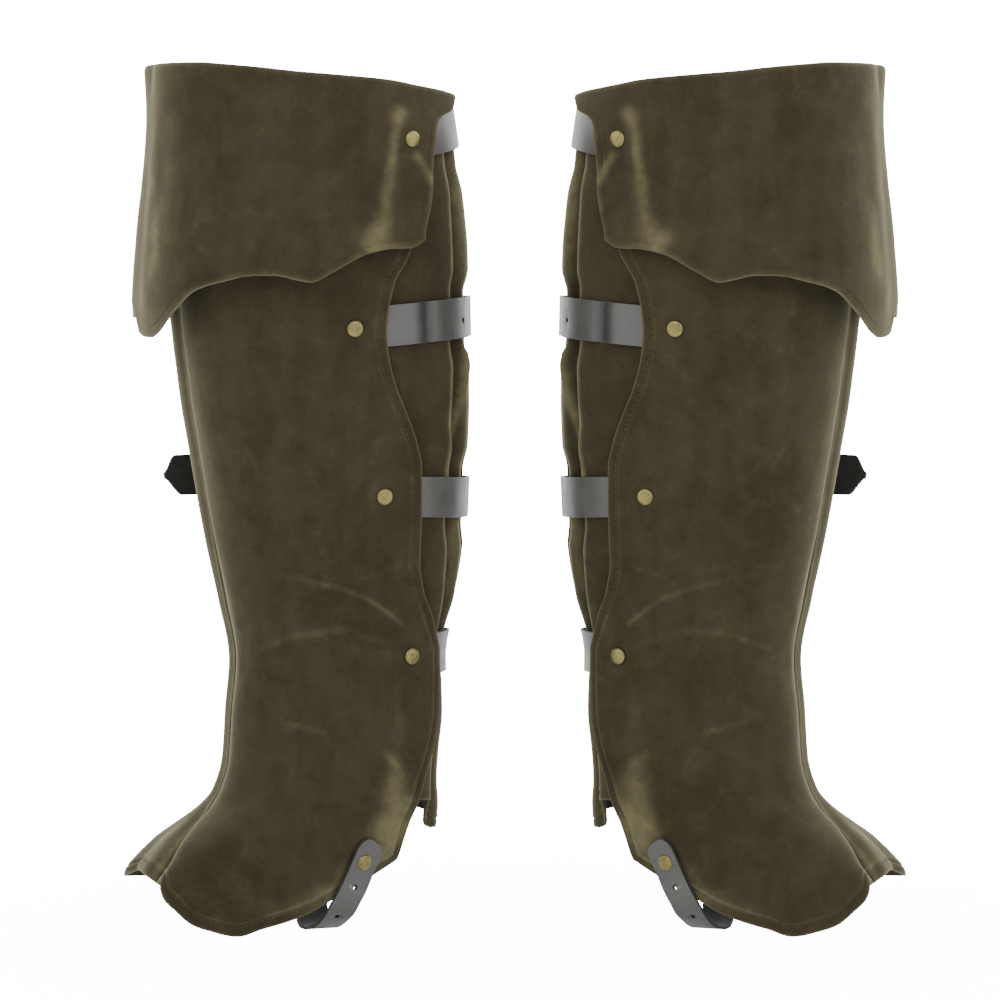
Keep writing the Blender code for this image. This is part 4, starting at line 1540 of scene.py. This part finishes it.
def on_strap(strap, behind, across, out):
    """A point by a leg strap's buckle: behind the heel bar, across the strap and off the panel."""
    height = strap_frame(strap, strap[5])
    way = strap[5] + behind / half_girth(height)
    return strap_point(strap, way, across, out)


def band_row(point_at, width, full_width, dent_shade=0.0):
    """A row of a strap's grid. point_at gives a point from its distance across the strap, and
    dent_shade is the painted shade of its dent.
    """
    row = []
    for column in BAND_COLUMNS:
        inset = (0.5 - abs(column)) * full_width
        row.append((point_at(column * width), dent_shade, bell(inset, BAND_RUBBED)))
    return row


def band(name, side, grid, thickness, holes, replaced, turned=True):
    """A strap: a wall on its grid with rounded edges, and its holes."""
    materials = [strap_leather(), strap_flesh()]
    obj = shell(name, side, grid, thickness, materials, replaced, turned)
    obj.modifiers["Wall"].material_offset_rim = 1
    punch(obj, side, holes)
    return obj


def hole_on(strap, behind, out, half_length, half_width, depth):
    """A hole by a leg strap's buckle, as punch takes it."""
    centre = on_strap(strap, behind, 0, out)
    away = on_strap(strap, behind, 0, out + 1) - centre
    along = on_strap(strap, behind + 1, 0, out) - centre
    return centre, away, along, half_length, half_width, depth


def prong_slot(strap):
    """The slot for the prong, which goes through the strap and through the chape's fold."""
    half_length, half_depth = ((end - start) / 2 for start, end in (SLOT_BEHIND, SLOT_OUT))
    middle = sum(SLOT_BEHIND) / 2, sum(SLOT_OUT) / 2
    return hole_on(strap, *middle, half_length, SLOT_WIDTH / 2, half_depth)


def punch(obj, side, holes):
    """Cuts round or slotted holes, each given by its centre, the way out of the strap, the way
    along it, its half length, half width and half depth."""
    mesh = bmesh.new()
    for centre, away, along, half_length, half_width, half_depth in holes:
        middle = place(side, centre)
        out = (place(side, centre + away) - middle).normalized()
        lengthways = (place(side, centre + along) - middle).normalized()
        sideways = out.cross(lengthways).normalized()
        depth = 2 * half_depth * MM
        made = bmesh.ops.create_cone(
            mesh, cap_ends=True, segments=HOLE_SIDES, radius1=1, radius2=1, depth=depth
        )
        for vertex in made["verts"]:
            x, y, z = vertex.co
            stretch = half_length - half_width
            x = x * half_width + math.copysign(stretch, x) if abs(x) > 1e-6 else 0.0
            vertex.co = middle + lengthways * x * MM + sideways * y * half_width * MM + out * z
    bmesh.ops.recalc_face_normals(mesh, faces=mesh.faces)
    data = bpy.data.meshes.new("punch")
    mesh.to_mesh(data)
    mesh.free()
    data.materials.append(strap_flesh())
    tool = bpy.data.objects.new("punch", data)
    bpy.context.scene.collection.objects.link(tool)
    cut = obj.modifiers.new("Holes", "BOOLEAN")
    cut.object = tool
    cut.solver = "EXACT"
    cut.material_mode = "TRANSFER"
    finished = baked(obj)
    obj.modifiers.clear()
    obj.data = finished
    bpy.data.objects.remove(tool)


def leg_strap(side, prefix, strap):
    """A leg strap from its rivet round the back, through its buckle to its pointed tail."""
    name, rivet_share, _, _, buckle_height, buckle_way, tail, free_from = strap
    girth = half_girth(buckle_height)
    start = 2 - rivet_share + RIVET_TO_END / girth
    first_way = buckle_way + (STRAP_AT_BUCKLE[-1][0] + 2) / girth
    count = math.ceil((start - first_way) * girth / STATION)
    stations = [("way", start + (first_way - start) * k / count) for k in range(count)]
    last = STRAP_AT_BUCKLE[-1][0]
    steps = math.ceil((last + tail) / BUCKLE_STATION)
    stations += [("behind", last - (last + tail) * k / steps) for k in range(steps + 1)]
    free = on_strap(strap, -free_from, 0, 0)
    heading = (free - on_strap(strap, -free_from + 3, 0, 0)).normalized()

    # How deep strap 2 sinks here, which also sets how much painted shade darkens it.
    def dented(station):
        kind, x = station
        if name != "2" or kind != "way":
            return 0.0
        return bell((2 - x - DENT_SHARE) * CREASE_GIRTH, DENT_HALF)

    def width_at(station):
        kind, x = station
        width = sizes().strap_width / MM
        past = -x - (tail - STRAP_POINT) if kind == "behind" else 0.0
        if past > 0:
            width *= 1 - (1 - STRAP_TIP) * smooth(past / STRAP_POINT) ** STRAP_POINT_BOW
        from_start = (start - x) * girth if kind == "way" else FAR
        return width * (1 - STRAP_END_NARROWS * math.exp(-from_start / STRAP_END_ROUND))

    def point_at(station, across):
        kind, x = station
        if kind == "way":
            return strap_point(strap, x, across, STRAP_STAND - DENT * dented(station))
        out = read_table(STRAP_AT_BUCKLE, x)
        if -x <= free_from:
            return on_strap(strap, x, across, out)
        return on_strap(strap, -free_from, across, out) + heading * (-x - free_from)

    holes = [prong_slot(strap)]
    for behind in TAIL_HOLES:
        if -behind < min(tail, free_from) - STRAP_POINT:
            out = read_table(STRAP_AT_BUCKLE, behind) - 1
            holes.append(hole_on(strap, behind, out, *TAIL_HOLE))
    if name == "2":
        share, height = STRAP_2_HOLE
        out = layer(2 - share) + STRAP_STAND - 1
        centre = on_leg(share, height, out)
        along = on_leg(share + 0.01, height, out) - centre
        holes.append((centre, normal(share, height), along, *TAIL_HOLE))
    full_width = sizes().strap_width / MM
    grid = []
    for station in stations:
        place_at = functools.partial(point_at, station)
        grid.append(band_row(place_at, width_at(station), full_width, dented(station)))
    replaced = [f"{prefix}leg_strap_{name}"]
    return band(f"{prefix}strap_{name}", side, grid, sizes().strap, holes, replaced)


def chape_profile():
    """The folded piece that holds the buckle: its outer face, from under the front end, round the
    heel bar and back over the top."""
    radius = WIRE + SEAM_GAP + CHAPE
    low = BUCKLE_OUT - radius
    rows = [(-26.0, 0.5), (-21.0, 0.5), (-16.0, 0.5), (-12.0, 0.52), (-9.0, 0.6), (-6.0, 0.72)]
    rows.append((-3.0, low - 0.1))
    for degrees in range(-90, 91, 15):
        turn = math.radians(degrees)
        rows.append((radius * math.cos(turn), BUCKLE_OUT + radius * math.sin(turn)))
    rows += [(-2.0, 7.1), (-4.5, 6.4), (-6.8, 5.5), (-9.0, 4.8), (-11.0, 4.5), (-14.0, CHAPE_TOP)]
    rows += [(-18.0, CHAPE_TOP), (-22.0, CHAPE_TOP), (-26.0, CHAPE_TOP)]
    return rows


def chape(side, prefix, strap):
    grid = []
    for behind, out in chape_profile():

        def point_at(across):
            return on_strap(strap, behind, across, out)

        grid.append(band_row(point_at, CHAPE_WIDTH, CHAPE_WIDTH))
    name = f"{prefix}chape_{strap[0]}"
    return band(f"{name}_leather", side, grid, CHAPE * MM, [prong_slot(strap)], [name])


def buckle(side, prefix, strap):
    """The buckle's wire frame."""
    half = BUCKLE_WIDTH / 2
    corners = (
        (BUCKLE_LENGTH - BUCKLE_CORNER, half - BUCKLE_CORNER, 0),
        (BUCKLE_CORNER, half - BUCKLE_CORNER, 90),
        (BUCKLE_CORNER, BUCKLE_CORNER - half, 180),
        (BUCKLE_LENGTH - BUCKLE_CORNER, BUCKLE_CORNER - half, 270),
    )
    points = []
    for behind, across, start in corners:
        for step in range(0, 91, 15):
            turn = math.radians(start + step)
            along = behind + BUCKLE_CORNER * math.cos(turn)
            over = across + BUCKLE_CORNER * math.sin(turn)
            points.append(on_strap(strap, along, over, BUCKLE_OUT))
    name = f"{prefix}buckle_{strap[0]}"
    return tube(f"{name}_frame", side, points, WIRE, True, [name])


def prong(side, prefix, strap):
    """Hooked round the heel bar in the chape's slot, through the strap, and on to the far bar."""
    points = []
    for degrees in range(-50, -271, -20):
        turn = math.radians(degrees)
        points.append((PRONG_REACH * math.cos(turn), BUCKLE_OUT + PRONG_REACH * math.sin(turn)))
    rest = BUCKLE_OUT + WIRE + SEAM_GAP + PRONG
    points.append((BUCKLE_LENGTH * 0.3, rest + 0.1))
    points += [(BUCKLE_LENGTH * 0.7, rest), (BUCKLE_LENGTH + WIRE, rest)]
    route = [on_strap(strap, behind, 0, out) for behind, out in points]
    name = f"{prefix}prong_{strap[0]}"
    return tube(f"{name}_bar", side, route, PRONG, False, [name])


def between(values, x):
    """A smooth curve through a list of vectors, with x from 0 to its last index."""
    i = min(len(values) - 2, int(x))
    s = x - i
    before, a, b = values[max(0, i - 1)], values[i], values[i + 1]
    after = values[min(len(values) - 1, i + 2)]
    return 0.5 * (
        2 * a
        + (b - before) * s
        + (2 * before - 5 * a + 4 * b - after) * s**2
        + (3 * a - before - 3 * b + after) * s**3
    )


@functools.lru_cache(maxsize=None)
def stirrup_route():
    """The stirrup strap's outer face: its middle, and the direction across it."""
    route = []
    thickness = STRAP_STAND - 0.9
    for share, height, space in STIRRUP_OUTER + tuple((-row[0], *row[1:]) for row in STIRRUP_INNER):
        forward = -math.copysign(0.01, share)
        across = on_leg(share + forward, height) - on_leg(share - forward, height)
        route.append((on_leg(share, height, space + thickness), across.normalized()))
    loop = []
    for forward, outward, height, turn in STIRRUP_LOOP:
        turn = math.radians(turn)
        across = Vector((math.cos(turn), math.sin(turn), 0))
        loop.append((Vector((forward, outward, height)), across))
    first = len(STIRRUP_OUTER)
    route = route[:first] + loop + route[first:]
    return [middle for middle, _ in route], [across for _, across in route]


def stirrup_frame(x):
    """A point of the stirrup's middle, the way ahead and the way across."""
    middles, directions = stirrup_route()
    last = len(middles) - 1
    ahead = between(middles, min(last, x + 0.05)) - between(middles, max(0, x - 0.05))
    ahead.normalize()
    across = between(directions, x)
    across = (across - across.dot(ahead) * ahead).normalized()
    return between(middles, x), ahead, across


def away_from_leg(here, ahead, across):
    """The stirrup's outward direction: to the leg's own side, and downwards under the foot."""
    away = across.cross(ahead)
    if away.y * here.y < 0 or (abs(here.y) < UNDER_FOOT and away.z > 0):
        away.negate()
    return away


def eased(frames):
    """The middles and directions of a strap's stations, with their small kinks smoothed out."""
    result = []
    for k in range(len(frames)):
        reach = min(STIRRUP_EASE, k, len(frames) - 1 - k)
        near = frames[k - reach : k + reach + 1]
        middle = sum((frame[0] for frame in near), Vector()) / len(near)
        result.append((middle, sum((frame[2] for frame in near), Vector()).normalized()))
    return result


def stirrup(side, prefix):
    """The strap under the foot, rounded at both ends."""
    last = len(stirrup_route()[0]) - 1
    steps = STIRRUP_STATIONS
    first = STIRRUP_ENDS[0]
    marks = [first + (last - STIRRUP_ENDS[1] - first) * k / steps for k in range(steps + 1)]
    frames = eased([stirrup_frame(x) for x in marks])
    middles = [middle for middle, _ in frames]
    lengths = [0.0]
    for a, b in zip(middles, middles[1:]):
        lengths.append(lengths[-1] + (b - a).length)
    full = lengths[-1]

    def width_at(station):
        end = min(lengths[station], full - lengths[station])
        width = sizes().stirrup_width / MM
        if end >= STIRRUP_ROUND:
            return width
        part = end / STIRRUP_ROUND
        return width * (STIRRUP_TIP + (1 - STIRRUP_TIP) * math.sqrt(1 - (1 - part) ** 2))

    grid = []
    for station, (here, direction) in enumerate(frames):

        def point_at(across):
            return here + direction * across

        grid.append(band_row(point_at, width_at(station), sizes().strap_width / MM))
    holes = []
    for x in STIRRUP_HOLES:
        here, ahead, across = stirrup_frame(x)
        away = away_from_leg(here, ahead, across)
        holes.append((here - away, away, ahead, *STIRRUP_HOLE))
    replaced = [prefix + "stirrup_strap"]
    name = prefix + "stirrup"
    return band(name, side, grid, sizes().strap, holes, replaced, turned=False)


def rivet_places():
    """Each rivet of a gaiter: the node's ending, its underside's middle and the way it faces."""
    places = []
    for strap in LEG_STRAPS:
        name, rivet_share, rivet_height, *_ = strap
        stand = RIVET_STAND
        if rivet_height > RIVETED_ON_CUFF:
            stand += cuff_stand(rivet_share, top_of(rivet_share) - rivet_height)
        base = on_leg(rivet_share, rivet_height, stand)
        places.append((f"rivet_{name}", base, normal(rivet_share, rivet_height)))
        base = on_strap(strap, CHAPE_RIVET, 0, CHAPE_TOP + RIVET_STAND)
        away = on_strap(strap, CHAPE_RIVET, 0, CHAPE_TOP + RIVET_STAND + 1) - base
        places.append((f"chape_rivet_{name}", base, away))
    last = len(stirrup_route()[0]) - 1
    for x, label in ((STIRRUP_RIVET, "outer"), (last - STIRRUP_RIVET, "inner")):
        here, ahead, across = stirrup_frame(x)
        away = away_from_leg(here, ahead, across)
        places.append((f"stirrup_rivet_{label}", here + away * RIVET_STAND, away))
    return places


def cap_mesh():
    """A rivet's cap of radius 1 and height 1: a flat top, a rounded shoulder and a short wall."""
    mesh = bmesh.new()
    centre = mesh.verts.new((0, 0, 1))
    rings = []
    for radius, height in CAP_PROFILE:
        row = []
        for k in range(CAP_SIDES):
            turn = 2 * math.pi * k / CAP_SIDES
            row.append(mesh.verts.new((radius * math.cos(turn), radius * math.sin(turn), height)))
        rings.append(row)
    for k in range(CAP_SIDES):
        m = (k + 1) % CAP_SIDES
        mesh.faces.new((centre, rings[0][k], rings[0][m]))
        for inside, outside in zip(rings, rings[1:]):
            mesh.faces.new((inside[k], outside[k], outside[m], inside[m]))
    mesh.faces.new(list(reversed(rings[-1])))
    for face in mesh.faces:
        face.smooth = len(face.verts) < 5
    data = bpy.data.meshes.new("rivet_cap")
    mesh.to_mesh(data)
    mesh.free()
    return data


class NodeRow:
    """A geometry node tree that is built from its input to its output."""

    def __init__(self, name, inputs):
        self.tree = bpy.data.node_groups.new(name, "GeometryNodeTree")
        face = self.tree.interface
        face.new_socket("Geometry", in_out="INPUT", socket_type="NodeSocketGeometry")
        for label, kind in inputs:
            face.new_socket(label, in_out="INPUT", socket_type=kind)
        face.new_socket("Geometry", in_out="OUTPUT", socket_type="NodeSocketGeometry")
        self.start = self.tree.nodes.new("NodeGroupInput")
        self.end = self.tree.nodes.new("NodeGroupOutput")

    def node(self, kind, settings=None, **values):
        made = self.tree.nodes.new(kind)
        for name, value in (settings or {}).items():
            setattr(made, name, value)
        for name, value in values.items():
            target = made.inputs[name.replace("_", " ")]
            if isinstance(value, bpy.types.NodeSocket):
                self.tree.links.new(value, target)
            else:
                target.default_value = value
        return made

    def named_vector(self, name):
        settings = {"data_type": "FLOAT_VECTOR"}
        return self.node("GeometryNodeInputNamedAttribute", settings, Name=name).outputs[0]

    def facing(self, tangent):
        """Turns X along the tangent and Z along the stored way out."""
        kind = "FunctionNodeAlignRotationToVector"
        first = self.node(kind, {"axis": "X"}, Vector=tangent).outputs[0]
        out = self.named_vector("facing")
        settings = {"axis": "Z", "pivot_axis": "X"}
        return self.node(kind, settings, Rotation=first, Vector=out).outputs[0]

    def finish(self, instances):
        whole = self.node("GeometryNodeRealizeInstances", Geometry=instances)
        material = self.start.outputs["Material"]
        done = self.node("GeometryNodeSetMaterial", Geometry=whole.outputs[0], Material=material)
        self.tree.links.new(done.outputs[0], self.end.inputs[0])
        return self.tree


def combined(row, x, y, z):
    return row.node("ShaderNodeCombineXYZ", X=x, Y=y, Z=z).outputs[0]


def rivet_tree():
    """A cap on each point of a mesh, turned to face the stored way out."""
    name = "rivets on points"
    if name in bpy.data.node_groups:
        return bpy.data.node_groups[name]
    inputs = (
        ("Cap", "NodeSocketObject"),
        ("Radius", "NodeSocketFloat"),
        ("Height", "NodeSocketFloat"),
        ("Material", "NodeSocketMaterial"),
    )
    row = NodeRow(name, inputs)
    given = row.start.outputs
    cap = row.node("GeometryNodeObjectInfo", Object=given["Cap"])
    size = combined(row, given["Radius"], given["Radius"], given["Height"])
    turn = row.node(
        "FunctionNodeAlignRotationToVector", {"axis": "Z"}, Vector=row.named_vector("facing")
    )
    points = row.node("GeometryNodeMeshToPoints", Mesh=given["Geometry"])
    placed = row.node(
        "GeometryNodeInstanceOnPoints",
        Points=points.outputs[0],
        Instance=cap.outputs["Geometry"],
        Rotation=turn.outputs[0],
        Scale=size,
    )
    return row.finish(placed.outputs[0])


def stitch_tree():
    """A stitch at even steps along each line of a mesh, lying on the stored way out."""
    name = "stitches on lines"
    if name in bpy.data.node_groups:
        return bpy.data.node_groups[name]
    inputs = (
        ("Pitch", "NodeSocketFloat"),
        ("Length", "NodeSocketFloat"),
        ("Thread", "NodeSocketFloat"),
        ("Material", "NodeSocketMaterial"),
    )
    row = NodeRow(name, inputs)
    given = row.start.outputs
    lines = row.node("GeometryNodeMeshToCurve", Mesh=given["Geometry"])
    settings = {"mode": "LENGTH"}
    even = row.node(
        "GeometryNodeResampleCurve", settings, Curve=lines.outputs[0], Length=given["Pitch"]
    )
    tangent = row.node("GeometryNodeInputTangent").outputs[0]
    bead = row.node("GeometryNodeMeshUVSphere", Segments=8, Rings=5, Radius=1.0)
    half = row.node("ShaderNodeMath", {"operation": "MULTIPLY"})
    row.tree.links.new(given["Length"], half.inputs[0])
    half.inputs[1].default_value = 0.5
    size = combined(row, half.outputs[0], given["Thread"], given["Thread"])
    placed = row.node(
        "GeometryNodeInstanceOnPoints",
        Points=even.outputs[0],
        Instance=bead.outputs[0],
        Rotation=row.facing(tangent),
        Scale=size,
    )
    return row.finish(placed.outputs[0])


def grown(name, side, points, edges, tree, values, replaced):
    """Runs a node tree on points with a stored way out, and keeps the result as a plain mesh."""
    data = bpy.data.meshes.new(name)
    places = [place(side, point) for point, _ in points]
    data.from_pydata(places, edges, [])
    facing = data.attributes.new("facing", "FLOAT_VECTOR", "POINT")
    for item, spot, (point, away) in zip(facing.data, places, points):
        item.vector = (place(side, point + away) - spot).normalized()
    seed = bpy.data.objects.new(name + "_seed", data)
    bpy.context.scene.collection.objects.link(seed)
    modifier = seed.modifiers.new("Nodes", "NODES")
    modifier.node_group = tree
    for item in tree.interface.items_tree:
        if item.in_out == "INPUT" and item.name in values:
            modifier[item.identifier] = values[item.name]
    result = baked(seed)
    bpy.data.objects.remove(seed)
    result.name = name
    result.materials.clear()
    return add_piece(name, result, [values["Material"]], replaced)


def line_on(points, lines, new):
    """Adds a stitch line's points and the edges that join them."""
    first = len(points)
    points.extend(new)
    lines.extend((k, k + 1) for k in range(first, len(points) - 1))


def outer_stitches():
    """The outer panel's stitch lines: down its rear edge and along its hem."""
    points, lines = [], []
    rear = []
    height, low = REAR_STITCHES
    while height > low:
        share = read_table(OUTER_EDGE, height) - STITCH_IN / half_girth(height)
        rear.append(sewn(share, height))
        height -= STITCH_STEP
    line_on(points, lines, rear)
    last, first_step, steps = OUTER_STITCHES
    hem = []
    for k in range(first_step, steps):
        share = last * k / steps
        height = read_table(OUTER_HEM, share) + STITCH_IN + hem_slope(OUTER_HEM, share)
        hem.append(sewn(share, height))
    line_on(points, lines, hem)
    return points, lines


def hem_slope(rows, share):
    """How much higher a line lies above a sloping hem so that its distance from it is the same."""
    rise = read_table(rows, share + 0.01) - read_table(rows, share - 0.01)
    slope = rise / (0.02 * CREASE_GIRTH)
    return STITCH_IN * (math.hypot(1, slope) - 1)


def sewn(share, height):
    """A stitch's point on the outer panel, in the groove of its stitch line."""
    point = on_panel(share, height, hem_rise(STITCH_IN) + THREAD_STAND)
    return point, normal(share, height)


def inner_stitches():
    """The inner panel's stitch line along its hem."""
    points, lines, hem = [], [], []
    last, first_step, steps = INNER_STITCHES
    for k in range(first_step, steps):
        way = last * k / steps
        height = read_table(INNER_HEM, way) + STITCH_IN + hem_slope(INNER_HEM, way)
        trough, _ = pleats(way, height)
        out = layer(way) - trough + hem_rise(STITCH_IN) + THREAD_STAND
        seam = read_table(SEAM_LINE, height) * max(0, 1 - way / SEAM_MOVED_TO)
        share = seam - sway(way, height)
        point = on_panel(share, height, out + toe_curl(way, STITCH_IN))
        hem.append((point, normal(share, height)))
    line_on(points, lines, hem)
    return points, lines


def stitches(side, prefix, name, made):
    points, lines = made
    s = sizes()
    values = {"Pitch": s.pitch, "Length": s.stitch, "Thread": s.thread, "Material": thread()}
    return grown(prefix + name, side, points, lines, stitch_tree(), values, [])


class OuterPanels(bpy.types.Operator):
    """Makes both outer panels, with their creases and turned hems."""

    bl_idname = "gaiters.outer_panels"
    bl_label = "Outer panels"

    def execute(self, context):
        grid = outer_grid(sizes().grain / MM)
        for side, prefix in SIDES:
            replaced = [prefix + "outer_panel"]
            name = prefix + "outer_cloth"
            panel = shell(name, side, grid, sizes().cloth, [suede(), backing()], replaced)
            sewing = stitches(side, prefix, "outer_stitches", outer_stitches())
        return {"FINISHED"}


class InnerPanels(bpy.types.Operator):
    """Makes both inner panels, which wrap the back in pleats."""

    bl_idname = "gaiters.inner_panels"
    bl_label = "Inner panels"

    def execute(self, context):
        grid = inner_grid(BACK_GRAIN * sizes().grain / MM)
        for side, prefix in SIDES:
            replaced = [prefix + "inner_panel"]
            name = prefix + "inner_cloth"
            faces = [suede(), backing()]
            panel = shell(name, side, grid, sizes().cloth, faces, replaced, turned=True)
            sewing = stitches(side, prefix, "inner_stitches", inner_stitches())
        return {"FINISHED"}


class Cuffs(bpy.types.Operator):
    """Makes both turned-down cuffs."""

    bl_idname = "gaiters.cuffs"
    bl_label = "Cuffs"

    def execute(self, context):
        grid = cuff_grid(sizes().grain / MM)
        for side, prefix in SIDES:
            replaced = [prefix + "cuff"]
            name = prefix + "cuff_cloth"
            cuff = shell(name, side, grid, sizes().cloth, [suede(), backing()], replaced)
        return {"FINISHED"}


class LegStraps(bpy.types.Operator):
    """Makes the four straps round each leg, with their holes."""

    bl_idname = "gaiters.leg_straps"
    bl_label = "Leg straps"

    def execute(self, context):
        for side, prefix in SIDES:
            for strap in LEG_STRAPS:
                leg_strap(side, prefix, strap)
        return {"FINISHED"}


class Buckles(bpy.types.Operator):
    """Makes each leg strap's chape, buckle frame and prong."""

    bl_idname = "gaiters.buckles"
    bl_label = "Buckles"

    def execute(self, context):
        for side, prefix in SIDES:
            for strap in LEG_STRAPS:
                chape(side, prefix, strap)
                buckle(side, prefix, strap)
                prong(side, prefix, strap)
        return {"FINISHED"}


class StirrupStraps(bpy.types.Operator):
    """Makes the strap under each foot."""

    bl_idname = "gaiters.stirrup_straps"
    bl_label = "Stirrup straps"

    def execute(self, context):
        for side, prefix in SIDES:
            stirrup(side, prefix)
        return {"FINISHED"}


class Rivets(bpy.types.Operator):
    """Makes every rivet's cap."""

    bl_idname = "gaiters.rivets"
    bl_label = "Rivets"

    def execute(self, context):
        cap = bpy.data.objects.new("rivet_cap", cap_mesh())
        bpy.context.scene.collection.objects.link(cap)
        s = sizes()
        values = {"Cap": cap, "Radius": s.rivet_radius, "Height": s.rivet_height}
        values["Material"] = brass()
        places = rivet_places()
        points = [(base, away) for _, base, away in places]
        for side, prefix in SIDES:
            replaced = [prefix + ending for ending, _, _ in places]
            grown(prefix + "rivets", side, points, [], rivet_tree(), values, replaced)
        bpy.data.objects.remove(cap)
        return {"FINISHED"}


class Stage(bpy.types.Operator):
    """Makes the floor, the lights and the camera."""

    bl_idname = "gaiters.stage"
    bl_label = "Stage"

    def execute(self, context):
        settings = context.scene.gaiter_stage
        make_floor(settings)
        make_lights(settings)
        make_camera(settings)
        return {"FINISHED"}


def make_floor(settings):
    """A round pale floor that fades into the backdrop's brightness."""
    mesh = bmesh.new()
    bmesh.ops.create_circle(mesh, cap_ends=True, segments=64, radius=14)
    bmesh.ops.translate(mesh, verts=mesh.verts, vec=(0, 0, -HELD_HEIGHT * MM - 0.0004))
    data = bpy.data.meshes.new("floor")
    mesh.to_mesh(data)
    mesh.free()
    floor = bpy.data.objects.new("floor", data)
    bpy.context.scene.collection.objects.link(floor)
    f = Finish("floor_paper", Roughness=0.9)
    f.shader.inputs["Base Color"].default_value = (*settings.floor, 1)
    flat = f.node("ShaderNodeMapping", Vector=f.place, Scale=(1.0, 1.0, 0.0))
    away = f.node("ShaderNodeVectorMath", {"operation": "LENGTH"}, output="Value", i0=flat)
    glow = f.node("ShaderNodeEmission", Color=(1.0, 1.0, 1.0), Strength=settings.backdrop)
    paper = Shader(f.tree, f.shader.outputs[0])
    seen = f.node("ShaderNodeLightPath", output="Is Camera Ray")
    blend = seen * away.ranged(0.2, 1.1, settings.floor_glow, 1.0)
    both = f.node("ShaderNodeMixShader", i0=blend, i1=paper, i2=glow)
    output = f.tree.nodes["Material Output"]
    f.tree.links.new(both.socket, output.inputs["Surface"])
    data.materials.append(f.material)


def make_lights(settings):
    """A soft box above each front corner, the key and the fill, and the bright surround."""
    world = bpy.data.worlds.new("surround")
    bpy.context.scene.world = world
    world.use_nodes = True
    sky = Shader(world.node_tree)
    towards = sky.node("ShaderNodeTexCoord", output="Generated")
    behind = sky.node("ShaderNodeSeparateXYZ", output="Y", Vector=towards)
    across = sky.node("ShaderNodeSeparateXYZ", output="X", Vector=towards)
    light = behind.ranged(-0.5, 0.8, settings.front, settings.behind)
    light = light + sky.maths("ABSOLUTE", across).ranged(0.62, 0.95, 0.0, settings.sides)
    seen = sky.node("ShaderNodeLightPath", output="Is Camera Ray")
    strength = light + seen * (settings.backdrop - light)
    lit = world.node_tree.nodes["Background"]
    lit.inputs["Color"].default_value = (1, 1, 1, 1)
    world.node_tree.links.new(strength.socket, lit.inputs["Strength"])
    lights = (
        # name, place, size, share of the key light's power
        ("key", (-0.9, -1.9, 1.3), 1.1, 0.55),
        ("fill", (1.0, -1.9, 1.1), 1.1, 0.50),
    )
    for name, at, size, power in lights:
        lamp = bpy.data.lights.new(name, "AREA")
        lamp.shape = "SQUARE"
        lamp.size = size
        lamp.energy = settings.key * power
        obj = bpy.data.objects.new(name, lamp)
        bpy.context.scene.collection.objects.link(obj)
        obj.location = at
        obj.rotation_euler = (Vector((0, 0, -0.1)) - Vector(at)).to_track_quat("-Z", "Y").to_euler()


def make_camera(settings):
    camera = bpy.data.cameras.new("camera")
    camera.sensor_width = 36.0
    camera.lens = camera.sensor_width * settings.distance / settings.field
    camera.shift_x = settings.shift
    obj = bpy.data.objects.new("camera", camera)
    bpy.context.scene.collection.objects.link(obj)
    back, tilt = settings.distance, settings.elevation
    obj.location = (0, -back * math.cos(tilt), settings.aim + back * math.sin(tilt))
    obj.rotation_euler = (math.pi / 2 - tilt, 0, 0)
    bpy.context.scene.camera = obj


class GaiterPanel(bpy.types.Panel):
    """Lists the gaiters' pieces in the sidebar, in the order in which they are made."""

    bl_idname = "VIEW3D_PT_gaiters"
    bl_label = "Gaiters"
    bl_space_type = "VIEW_3D"
    bl_region_type = "UI"
    bl_category = "Gaiters"

    def draw(self, context):
        for operator in OPERATORS:
            self.layout.operator(operator.bl_idname)
        scene = context.scene
        for group in (scene.gaiter_sizes, scene.gaiter_colours, scene.gaiter_stage):
            box = self.layout.box()
            for name in group.bl_rna.properties.keys():
                if name not in ("rna_type", "name"):
                    box.prop(group, name)


OPERATORS = (Stage, OuterPanels, InnerPanels, Cuffs, LegStraps, Buckles, StirrupStraps, Rivets)
GROUPS = (GaiterSizes, GaiterColours, StageSettings)


def register():
    for made in (*GROUPS, *OPERATORS, GaiterPanel):
        bpy.utils.register_class(made)
    bpy.types.Scene.gaiter_sizes = bpy.props.PointerProperty(type=GaiterSizes)
    bpy.types.Scene.gaiter_colours = bpy.props.PointerProperty(type=GaiterColours)
    bpy.types.Scene.gaiter_stage = bpy.props.PointerProperty(type=StageSettings)


def unregister():
    for name in ("gaiter_stage", "gaiter_colours", "gaiter_sizes"):
        delattr(bpy.types.Scene, name)
    for made in (GaiterPanel, *reversed(OPERATORS), *reversed(GROUPS)):
        bpy.utils.unregister_class(made)


def main():
    register()
    for operator in OPERATORS:
        family, name = operator.bl_idname.split(".")
        getattr(getattr(bpy.ops, family), name)()


if __name__ == "__main__":
    main()
